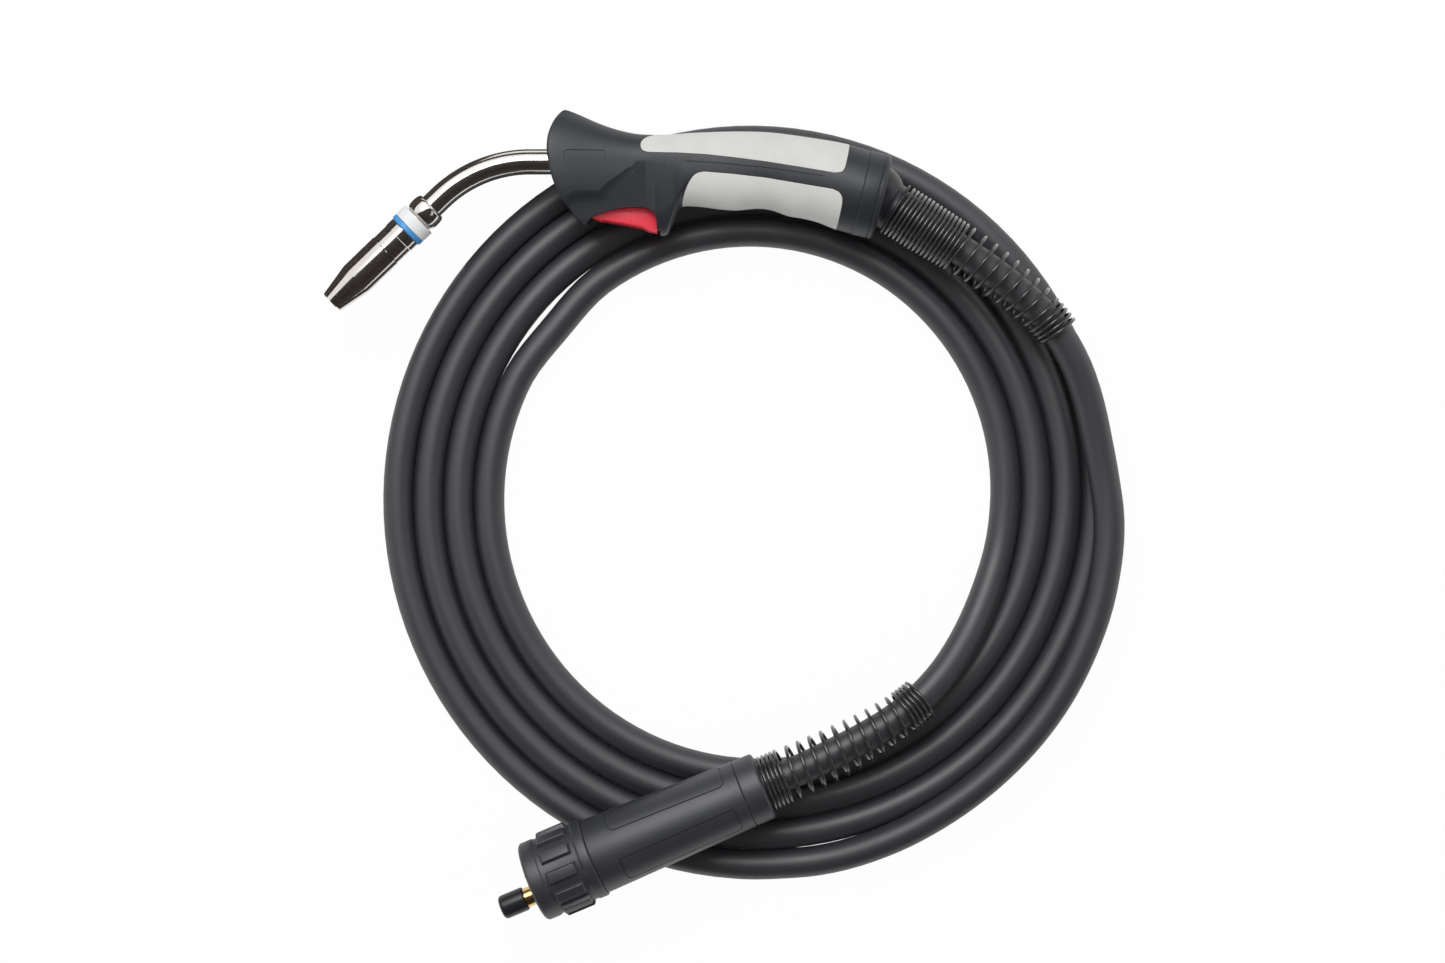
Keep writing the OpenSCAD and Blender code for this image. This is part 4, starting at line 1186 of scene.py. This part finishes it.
    def drawn_in(self, outline: Sequence[Point2], inset: float) -> list[Point2]:
        """Moves an outline inwards.

        Args:
            outline: The closed outline.
            inset: How far its sides move.

        Returns:
            The smaller outline.
        """
        count = len(outline)
        area = sum(outline[i - 1][0] * outline[i][1] - outline[i][0] * outline[i - 1][1]
                   for i in range(count))
        sense = 1 if area > 0 else -1
        moved = []
        for i, (x, y) in enumerate(outline):
            a, b = Vector(outline[i - 1]), Vector(outline[(i + 1) % count])
            along = (b - a).normalized()
            moved.append((x - sense * along.y * inset, y + sense * along.x * inset))
        return moved

    def half(self, piece: Piece, name: str, side: Side, gap: float, finish: Finishes,
             node: str) -> None:
        """Dresses one half of a piece, short of the middle plane by a gap.

        Args:
            piece: The whole piece, which is kept.
            name: Name of the half, before that of its side.
            side: Which half.
            gap: How far it stays from the middle plane.
            finish: Its finish.
            node: The CAD node that it stands for, before the name of its side.
        """
        end = side.name.lower()
        half = copied(piece, f"{name}_{end}")
        with editing(half, pick=Pick.FACE):
            bpy.ops.mesh.bisect(plane_co=(0, 0, side.value * gap), plane_no=(0, 0, 1),
                                use_fill=True, clear_inner=side is Side.UPPER,
                                clear_outer=side is Side.LOWER)
        dressed(closed(half), FRAMES.handle, Body.HANDLE, finish, f"{node}_{end}")

    def window(self) -> Piece:
        """Returns the opening below the trigger, through both cheeks."""
        arc = arc_points(self.window_at, self.window_r, self.window_arc)
        return self.prism("window", [(52.6, -40), (52.1, -28.4), (51.3, -26), (49.8, -24.3),
                                     *arc, (21.4, -27.3), (17.4, -31.6), (14, -40)])

    def grooves(self) -> Piece:
        """Builds the fine grooves: round the panel on each flare and between the pads.

        Returns:
            The cutter, down to the grooves' floor.
        """
        outer = rounded(box_outline(*self.panel), 2.6, 6)
        cutter = self.prism("label", outer, self.groove_reach)
        for name, core in (("label_core", self.drawn_in(outer, self.groove)),
                           ("label_foot", box_outline(*self.panel_foot))):
            cut(cutter, self.prism(name, core, self.core_reach))
        half = self.line_width / 2
        strip = ([(u, v - half) for u, v in self.line]
                 + [(u, v + half) for u, v in reversed(self.line)])
        cut(cutter, self.prism("line", strip, self.groove_reach), Cut.UNION)
        return cut(cutter, self.outside("label_floor", -self.groove, step=self.groove_step))

    def build(self) -> None:
        """Builds the shells and pads."""
        whole = self.outside("handle_body")
        inner = self.outside("handle_inner", -self.pad_depth, self.inner_first, self.inner_step)
        for name, outline in (("top_pad", self.top_pad), ("belly_pad", self.belly_pad)):
            room, slim = (cut(self.pad_room(outline, inset), inner, keep_tool=True)
                          for inset in (0.0, self.pad_gap))
            pad = cut(copied(whole, name), slim, Cut.INTERSECT)
            cut(whole, room)
            for side in Side:
                self.half(pad, f"soft_{name}", side, 0.0, Finishes.PAD, name)
            bpy.data.objects.remove(pad)
        for side in Side:
            cut(whole, self.cheek(side))
        cut(whole, self.window())
        cut(whole, self.prism("pocket", box_outline(*self.pocket), self.pocket_half))
        cut(whole, self.grooves())
        for side in Side:
            self.half(whole, "handle_half", side, self.seam / 2, Finishes.HANDLE, "handle_shell")
        bpy.data.objects.remove(inner)
        bpy.data.objects.remove(whole)


@dataclass
class Trigger:
    """The red trigger with its serrated underside."""

    width: float = 11.0
    grooves: int = 19
    groove_depth: float = 0.8
    groove_span: Point2 = (25.8, 46.2)
    steps_a_groove: int = 3
    edge: float = 0.18
    # the underside that the grooves are cut into, seen from the side
    lower: tuple[Point2, ...] = ((24.9, -28.3), (34.4, -29.8), (44.0, -31.7), (46.4, -32.3))

    def outline(self) -> list[Point2]:
        """Draws the trigger's side view with its serrations.

        Returns:
            The closed outline.
        """
        marks: list[Point2] = []
        steps = self.steps_a_groove * self.grooves
        start, end = self.groove_span
        for i in range(steps + 1):
            x = start + (end - start) * i / steps
            for (a, b), (c, d) in zip(self.lower, self.lower[1:]):
                if a <= x <= c:
                    y = b + (d - b) * (x - a) / (c - a)
            marks.append((x, y + (self.groove_depth if i % self.steps_a_groove == 1 else 0.0)))
        return ([(21.2, -26.9), (24.6, -28.1), *marks, (48.2, -33.3), (52, -33.9),
                 (52.6, -33.2), (52.4, -27), (51.6, -22), (50.4, -17.6), (27, -17.6),
                 (22, -20.4), (19.6, -22.4), (19.8, -24.4)])

    def build(self) -> None:
        """Builds the trigger."""
        piece = extruded("red_trigger", self.outline(), -self.width / 2, self.width / 2)
        bevelled(piece, self.edge, angle=40)
        dressed(piece, FRAMES.handle, Body.TRIGGER, Finishes.TRIGGER, "trigger", smooth=28)


@dataclass
class BallCollar:
    """The ball joint's collar on the handle and the cable support inside it."""

    outer: float = 20.4
    length: float = 10.7
    front: float = -6.0
    ball_r: float = 15.5
    ball_arc: range = range(-26, 38, 4)
    spigot_r: float = 10.4
    round_by: float = 0.3

    def collar(self) -> None:
        """Builds the ring that closes the handle's rear."""
        r, z, top = self.outer, self.front, self.front + self.length
        profile = [(18.2, z), (r - 0.5, z), (r, z + 0.5), (r, z + 7.3), (r - 0.5, z + 7.5),
                   (r - 0.5, z + 8), (r, z + 8.2), (r, top - 1.3), (r - 1.3, top), (15.1, top),
                   (15.1, top - 0.8), (18.2, top - 0.8)]
        piece = turned("rear_collar", rounded(profile, self.round_by), 128)
        dressed(piece, FRAMES.collar, Body.HANDLE, Finishes.HANDLE, "handle_collar",
                smooth=28)

    def support(self) -> None:
        """Builds the ball with its flange and the spigot for the spring."""
        r = self.spigot_r
        profile = [(10.9, -7), (13.8, -7), *arc_points((0, 0), self.ball_r, self.ball_arc),
                   (11.8, 9.9), (11.8, 11.8), (12.4, 12), (13.4, 12.1), (13.4, 13.2),
                   (r, 13.3), (r, 21.8), (r - 0.5, 22.3), (7.4, 22.3), (7.4, 1), (8.07, 0)]
        piece = turned("cable_support", rounded(profile, self.round_by), 112)
        dressed(piece, FRAMES.support, Body.CABLE, Finishes.GLOSS_BLACK, "support_ball",
                smooth=28)

    def build(self) -> None:
        """Builds both pieces."""
        self.collar()
        self.support()


@dataclass
class Neck:
    """The swan neck, its bulged head, the rings and the gas nozzle.

    The fields that end in _s are places along the tip's axis.
    """

    diameter: float = 12.0
    seat: float = 31.0
    straight: float = 12.0
    bend_steps: int = 48
    overlap: float = 6.0
    head_s: float = FRAMES.bend_reach + 5.2
    ring_s: float = head_s + 9.2
    nozzle_s: float = ring_s + 8.6
    swell: float = 2.1
    swell_half: float = 4.2
    swell_power: float = 0.55
    ring_span: Point2 = (6.5, 9.05)

    def on_tip(self, s: float) -> Matrix:
        """Returns the frame at a place along the tip's axis."""
        return FRAMES.tip @ Matrix.Translation((0, 0, s))

    def tube(self) -> None:
        """Bends the neck tube: a straight run, the arc and a straight end."""
        middle = Vector((FRAMES.bend_u, -FRAMES.bend_r, 0))
        path = [Vector((self.seat, 0, 0)), Vector((FRAMES.bend_u + self.straight, 0, 0))]
        for k in range(self.bend_steps + 1):
            a = math.radians(90 + FRAMES.bend_angle * k / self.bend_steps)
            path.append(middle + FRAMES.bend_r * Vector((math.cos(a), math.sin(a), 0)))
        tip = FRAMES.handle.inverted() @ FRAMES.tip
        path.append(tip @ Vector((0, 0, self.head_s + self.overlap)))
        piece = swept("bent_neck", path, self.diameter / 2, 56)
        dressed(piece, FRAMES.handle, Body.HANDLE, Finishes.NECK, "neck_tube", smooth=40)

    def head(self) -> None:
        """Builds the bulged head that carries the nozzle."""
        r = self.diameter / 2 + 0.05
        profile = []
        for a in range(0, 175, 9):
            out = self.swell * math.sin(math.radians(a)) ** self.swell_power
            profile.append((r + out, 0.4 + self.swell_half * (1 - math.cos(math.radians(a)))))
        profile += [(6.4, 9.1), (6.4, 27), (5.6, 27.5), (3.6, 27.5), (3.6, 6.3), (5.6, 6.3),
                    (5.6, 0.2)]
        dressed(turned("bulged_head", profile, 112), self.on_tip(self.head_s),
                Body.HANDLE, Finishes.NECK, "neck_head", smooth=30)

    def ring(self, node: str, low: float, high: float, finish: Finishes) -> None:
        """Builds one of the two plastic rings.

        Args:
            node: The CAD node that it stands for.
            low: Start along the tip's axis.
            high: End along the tip's axis.
            finish: Its finish, whose slot names the piece too.
        """
        inner, outer = self.ring_span
        profile = rounded(box_outline((inner, low), (outer, high)), 0.5, 4, lambda p: p[0] < 7)
        dressed(turned(finish.value.slot, profile, 112), self.on_tip(self.ring_s),
                Body.HANDLE, finish, node, smooth=28)

    def nozzle(self) -> None:
        """Builds the gas nozzle with its turned band and tapered end."""
        profile = [(7.1, 0), (8.2, 0), (8.5, 0.3), (8.5, 4.4), (8.22, 4.7), (8.22, 12.9),
                   (8.5, 13.2), (8.5, 32.3), (8.46, 32.9), (5.75, 48.3), (5.5, 48.75),
                   (4.95, 48.8), (4.75, 48.6), (4.75, 43.2), (7.1, 31.5)]
        dressed(turned("nozzle", profile, 128), self.on_tip(self.nozzle_s),
                Body.NOZZLE, Finishes.NOZZLE, "gas_nozzle", smooth=14)

    def build(self) -> None:
        """Builds the neck from the handle to the nozzle."""
        self.tube()
        self.head()
        self.ring("insulating_ring", 0.0, 5.95, Finishes.WHITE_RING)
        self.ring("seal_ring", 6.0, 8.5, Finishes.BLUE_RING)
        self.nozzle()


@dataclass
class Connector:
    """The central connector: union nut, housing, end ring and the capped pin."""

    nut_length: float = 32.0
    nut_r: float = 19.4
    ribs: int = 12
    rib_turn: float = 86.4
    rib_middle: float = 17.0
    rib_rise: float = 1.6
    housing_length: float = 77.5
    front_r: float = 18.3
    rear_r: float = 16.4
    panels: int = 4
    panel_turn: float = 123.5
    panel_half: float = 7.0
    panel_line: float = 0.45
    panel_ends: Point2 = (12, 6)
    pin_offset: float = 5.6
    cap_front: float = -18.6

    def nut(self) -> Piece:
        """Builds the union nut with its raised grip pads.

        Returns:
            The nut, dressed.
        """
        r, end = self.nut_r, self.nut_length - 0.1
        profile = [(14.6, 0.6), (15.2, 0), (r - 1.1, 0), (r, 1.1), (r, 6.9), (r - 0.5, 7.6),
                   (r - 0.5, 26.6), (r, 27.3), (r, end - 0.5), (r - 0.5, end), (16.3, end),
                   (16.3, 27.6), (11.1, 27.6), (11.1, 21.3), (14.6, 21.3)]
        body = turned("nut_body", rounded(profile, 0.5), 144)
        piece = joined("grip_nut", [body, *map(self.grip_pad, range(self.ribs))])
        return dressed(piece, FRAMES.plug, Body.NUT, Finishes.CONNECTOR, "union_nut", smooth=30)

    def grip_pad(self, index: int) -> Piece:
        """Builds one raised pad in its place round the nut.

        Args:
            index: Which of the pads.

        Returns:
            The pad, in the connector's frame.
        """
        deselect()
        root = self.nut_r - 0.4
        bpy.ops.mesh.primitive_cube_add(size=1, location=(root, 0, self.rib_middle))
        pad = bpy.context.object
        pad.name = "grip_pad"
        bpy.ops.object.transform_apply(location=True, rotation=True, scale=True)
        for vertex in pad.data.vertices:
            out = vertex.co.x > root
            vertex.co.x = self.nut_r + (self.rib_rise if out else -3.0)
            vertex.co.y *= 5.4 if out else 6.6
            vertex.co.z = (self.rib_middle
                           + (vertex.co.z - self.rib_middle) * (13.6 if out else 17.0))
        bevelled(pad, 0.5, segments=3, angle=30)
        pad.data.transform(turn(360 * index / self.ribs + self.rib_turn, "Z"))
        return pad

    def housing(self) -> Piece:
        """Builds the housing with long shallow panels set into it.

        Returns:
            The housing, dressed.
        """
        low, high = self.nut_length, self.nut_length + self.housing_length
        profile = [(11.2, low - 4), (15.8, low - 4), (15.8, low), (self.front_r, low),
                   (self.rear_r + 0.1, high), (7.6, high), (7.6, 78), (11.2, 78)]
        piece = turned("plug_housing_skin", rounded(profile, 0.4), 144)
        for i in range(self.panels):
            cut(piece, self.panel_groove(i))
        return dressed(piece, FRAMES.plug, Body.CABLE, Finishes.CONNECTOR, "plug_housing",
                       smooth=30)

    def panel_groove(self, index: int) -> Piece:
        """Builds the groove round one long rounded panel.

        Args:
            index: Which of the panels.

        Returns:
            The ring-shaped cutter, in the connector's frame.
        """
        low = self.nut_length + self.panel_ends[0]
        high = self.nut_length + self.housing_length - self.panel_ends[1]
        wide, line = self.panel_half, self.panel_line
        outer = rounded(box_outline((-wide, low), (wide, high)), 3.2, 5)
        inner = rounded(box_outline((-wide + line, low + line), (wide - line, high - line)), 3, 5)
        ring = extruded("panel", outer, 0, 30)
        cut(ring, extruded("panel_core", inner, -1, 31))
        core = turned("panel_floor", [
            (0, low - 5), (self.front_r - 0.7, low - 5), (self.rear_r - 0.45, high + 5),
            (0, high + 5)], 96)
        core.data.transform(turn(90, "X").inverted())
        cut(ring, core)
        ring.data.transform(turn(90, "X"))
        ring.data.transform(turn(90 * index + self.panel_turn, "Z"))
        return ring

    def end_ring(self) -> Piece:
        """Builds the ring that closes the housing and carries the spring.

        Returns:
            The ring, dressed.
        """
        low = self.nut_length + self.housing_length
        r, high = self.rear_r, low + 10.5
        profile = [(7.4, low + 0.1), (r - 0.3, low + 0.1), (r, low + 0.5), (r, high - 1),
                   (r - 1, high), (10.7, high), (10.7, high + 8.6), (10.3, high + 9),
                   (7.4, high + 9)]
        piece = turned("spring_ring", rounded(profile, 0.35), 128)
        return dressed(piece, FRAMES.plug, Body.CABLE, Finishes.CONNECTOR, "plug_end_ring",
                       smooth=28)

    def cap(self) -> Piece:
        """Builds the glossy cap on the wire and gas pin.

        Returns:
            The cap, dressed.
        """
        profile = [(0, 0), (4.6, 0), (5.5, 0.7), (5.75, 1.6), (5.75, 11.9), (5.4, 12.4),
                   (4.6, 12.4), (4.5, 12.1), (4.5, 3), (0, 3)]
        place = FRAMES.plug @ Matrix.Translation((0, -self.pin_offset, self.cap_front))
        return dressed(turned("rubber_cap", rounded(profile, 0.3), 96), place, Body.CAP,
                       Finishes.GLOSS_BLACK, "pin_cap", smooth=28)

    def build(self) -> list[Piece]:
        """Builds the connector from the nut backwards and then the cap.

        Returns:
            Its pieces.
        """
        return [self.nut(), self.housing(), self.end_ring(), self.cap()]


# ---------------------------- studio


@dataclass
class Studio:
    """Camera, lamps, floor and the dark cards that the bright metal mirrors."""

    camera_at: Point3 = (-0.0159, 0.0066, 1.1)
    lens: float = 55.6
    sensor: float = 36.0
    world_fill: float = 0.32
    floor_size: float = 8.0
    floor_z: float = -0.0002
    floor_glow: float = 0.97
    floor_tone: float = 0.9
    card_tone: Colour = (0.072, 0.062, 0.057)
    cards: tuple[tuple[str, tuple[Point3, ...]], ...] = (
        ("card_above",
         ((-3.2, -0.62, 1.6), (3.2, 1.46, 1.6), (4.0, -1.0, 1.6), (-2.4, -3.1, 1.6))),
        ("card_beside",
         ((-2.4, -3.1, 1.6), (4.0, -1.0, 1.6), (4.0, -1.0, 0.01), (-2.4, -3.1, 0.01))),
        ("card_left",
         ((-3.0, 0.1, 0.01), (-1.2, 2.6, 0.01), (-1.2, 2.6, 1.1), (-3.0, 0.1, 1.1))),
        ("card_behind",
         ((-1.2, 2.6, 0.01), (2.6, 3.0, 0.01), (2.6, 3.0, 1.1), (-1.2, 2.6, 1.1))),
        ("card_below", tuple((x, y, 0.00003) for x, y in (
            (-0.212, 0.08), (-2.9, 0.3), (-1.25, 2.55), (-0.15, 0.245), (-0.08, 0.245),
            (-0.08, 0.1), (-0.12, 0.09), (-0.16, 0.128)))))
    # name, place, side and power in watts
    lamps: tuple[tuple[str, Point3, float, float], ...] = (
        ("key_lamp", (-0.45, 1.25, 2.1), 1.2, 27),
        ("fill_lamp", (1.2, -0.3, 1.6), 1.2, 2.5),
        ("top_lamp", (0.0, 0.3, 2.2), 1.4, 8))

    def camera(self) -> None:
        """Places the camera straight above the coil."""
        data = bpy.data.cameras.new("camera")
        data.lens = self.lens
        data.sensor_width = self.sensor
        camera = bpy.data.objects.new("camera", data)
        camera.location = self.camera_at
        bpy.context.scene.collection.objects.link(camera)
        bpy.context.scene.camera = camera

    def seen_rays(self, tree: Tree) -> Socket:
        """Adds a value of 1 for rays that see the background.

        Args:
            tree: The node tree that gets it.

        Returns:
            The value's socket.
        """
        rays = tree.nodes.new("ShaderNodeLightPath").outputs
        first = math_node(tree, "MAXIMUM", rays["Is Camera Ray"], rays["Is Glossy Ray"])
        return math_node(tree, "MAXIMUM", first, rays["Is Transmission Ray"])

    def world(self) -> None:
        """Lights the scene evenly and shows white where the background is seen."""
        world = bpy.data.worlds.new("studio")
        bpy.context.scene.world = world
        world.use_nodes = True
        tree = world.node_tree
        shade = tree.nodes["Background"]
        set_inputs(shade, {"Color": WHITE})
        lit = math_node(tree, "MULTIPLY", self.seen_rays(tree), 1 - self.world_fill)
        tree.links.new(math_node(tree, "ADD", lit, self.world_fill), shade.inputs["Strength"])

    def floor(self) -> None:
        """Lays a white floor that keeps a soft shadow."""
        deselect()
        bpy.ops.mesh.primitive_plane_add(size=self.floor_size, location=(0, 0, self.floor_z))
        floor = bpy.context.object
        floor.name = "floor"
        material = bpy.data.materials.new("floor_white")
        material.use_nodes = True
        tree = material.node_tree
        plain = tree.nodes["Principled BSDF"]
        set_inputs(plain, {"Base Color": (*[self.floor_tone] * 3, 1), "Roughness": 0.9,
                           "Specular IOR Level": 0.0})
        glow = tree.nodes.new("ShaderNodeEmission")
        set_inputs(glow, {"Color": WHITE, "Strength": 1.0})
        mix = tree.nodes.new("ShaderNodeMixShader")
        share = math_node(tree, "MULTIPLY", self.seen_rays(tree), self.floor_glow)
        for socket, fed in zip(mix.inputs, (share, plain.outputs[0], glow.outputs[0])):
            tree.links.new(fed, socket)
        tree.links.new(mix.outputs[0], tree.nodes["Material Output"].inputs["Surface"])
        floor.data.materials.append(material)

    def dark(self) -> bpy.types.Material:
        """Makes the cards' material.

        Returns:
            The material.
        """
        material = bpy.data.materials.new("dark_card")
        material.use_nodes = True
        set_inputs(material.node_tree.nodes["Principled BSDF"],
                   {"Base Color": (*self.card_tone, 1), "Specular IOR Level": 0.0})
        return material

    def card(self, name: str, corners: Sequence[Point3], material: bpy.types.Material) -> None:
        """Sets up a dark flat card that only shows as a reflection.

        Args:
            name: Name of the card.
            corners: Its corners in metres, in order.
            material: Its material.
        """
        card = loop(name, corners)
        with editing(card):
            bpy.ops.mesh.edge_face_add()
        card.data.materials.append(material)
        card.visible_camera = card.visible_diffuse = card.visible_shadow = False
        card.visible_transmission = False

    def lamp(self, name: str, place: Point3, size: float, power: float) -> None:
        """Hangs a soft square lamp that points at the coil's middle.

        Args:
            name: Name of the lamp.
            place: Where it hangs, in metres.
            size: Its side in metres.
            power: Its power in watts.
        """
        data = bpy.data.lights.new(name, "AREA")
        data.shape = "SQUARE"
        data.size = size
        data.energy = power
        lamp = bpy.data.objects.new(name, data)
        lamp.location = place
        lamp.rotation_mode = "QUATERNION"
        lamp.rotation_quaternion = Vector(place).to_track_quat("Z", "Y")
        bpy.context.scene.collection.objects.link(lamp)

    def build(self) -> None:
        """Sets up the whole studio."""
        bpy.context.scene.view_settings.view_transform = "Standard"
        self.camera()
        self.world()
        self.floor()
        dark = self.dark()
        for name, corners in self.cards:
            self.card(name, corners, dark)
        for lamp in self.lamps:
            self.lamp(*lamp)


def dress_cad_nodes(frame: dict) -> None:
    """Gives every CAD node that stays its procedural finish.
    """
    for part in frame["record"]["subparts"]:
        node = frame["nodes"][part["node"]]
        node.data.materials.clear()
        node.data.materials.append(Finishes.of_slot(part["material_slot"]).build())


def main() -> None:
    """Builds the scene in order."""
    logging.basicConfig(level=logging.INFO, format="%(name)s: %(message)s")
    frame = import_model()
    Studio().build()
    cable = Cable()
    cord = cable.build()
    BendSpring("torch_wire_spring", "torch_spring", cable.torch_points(), start=14.5,
               turns=(15.1, 8.5, 4), leads=(2.18, 6.2, 2.66), wide=27.0).build()
    plug_line = list(reversed(cable.plug_points()[:-1]))
    plug_spring = BendSpring("plug_wire_spring", "plug_spring", plug_line, start=1.2,
                             turns=(4.5, 10.5, 4.5), leads=(2.1, 6.2, 2.3), wide=27.6).build()
    dress_cad_nodes(frame)
    Handle().build()
    Trigger().build()
    BallCollar().build()
    Neck().build()
    on_cable = [plug_spring, *Connector().build()]
    on_cable += [frame["nodes"][n] for n in (
        "plug_block", "plug_insulator", "wire_gas_pin", "gas_pin_o_rings", "liner_nut",
        "plug_screws", "contact_pin_left", "contact_pin_right")]
    cable.declare()


if __name__ == "__main__":
    main()
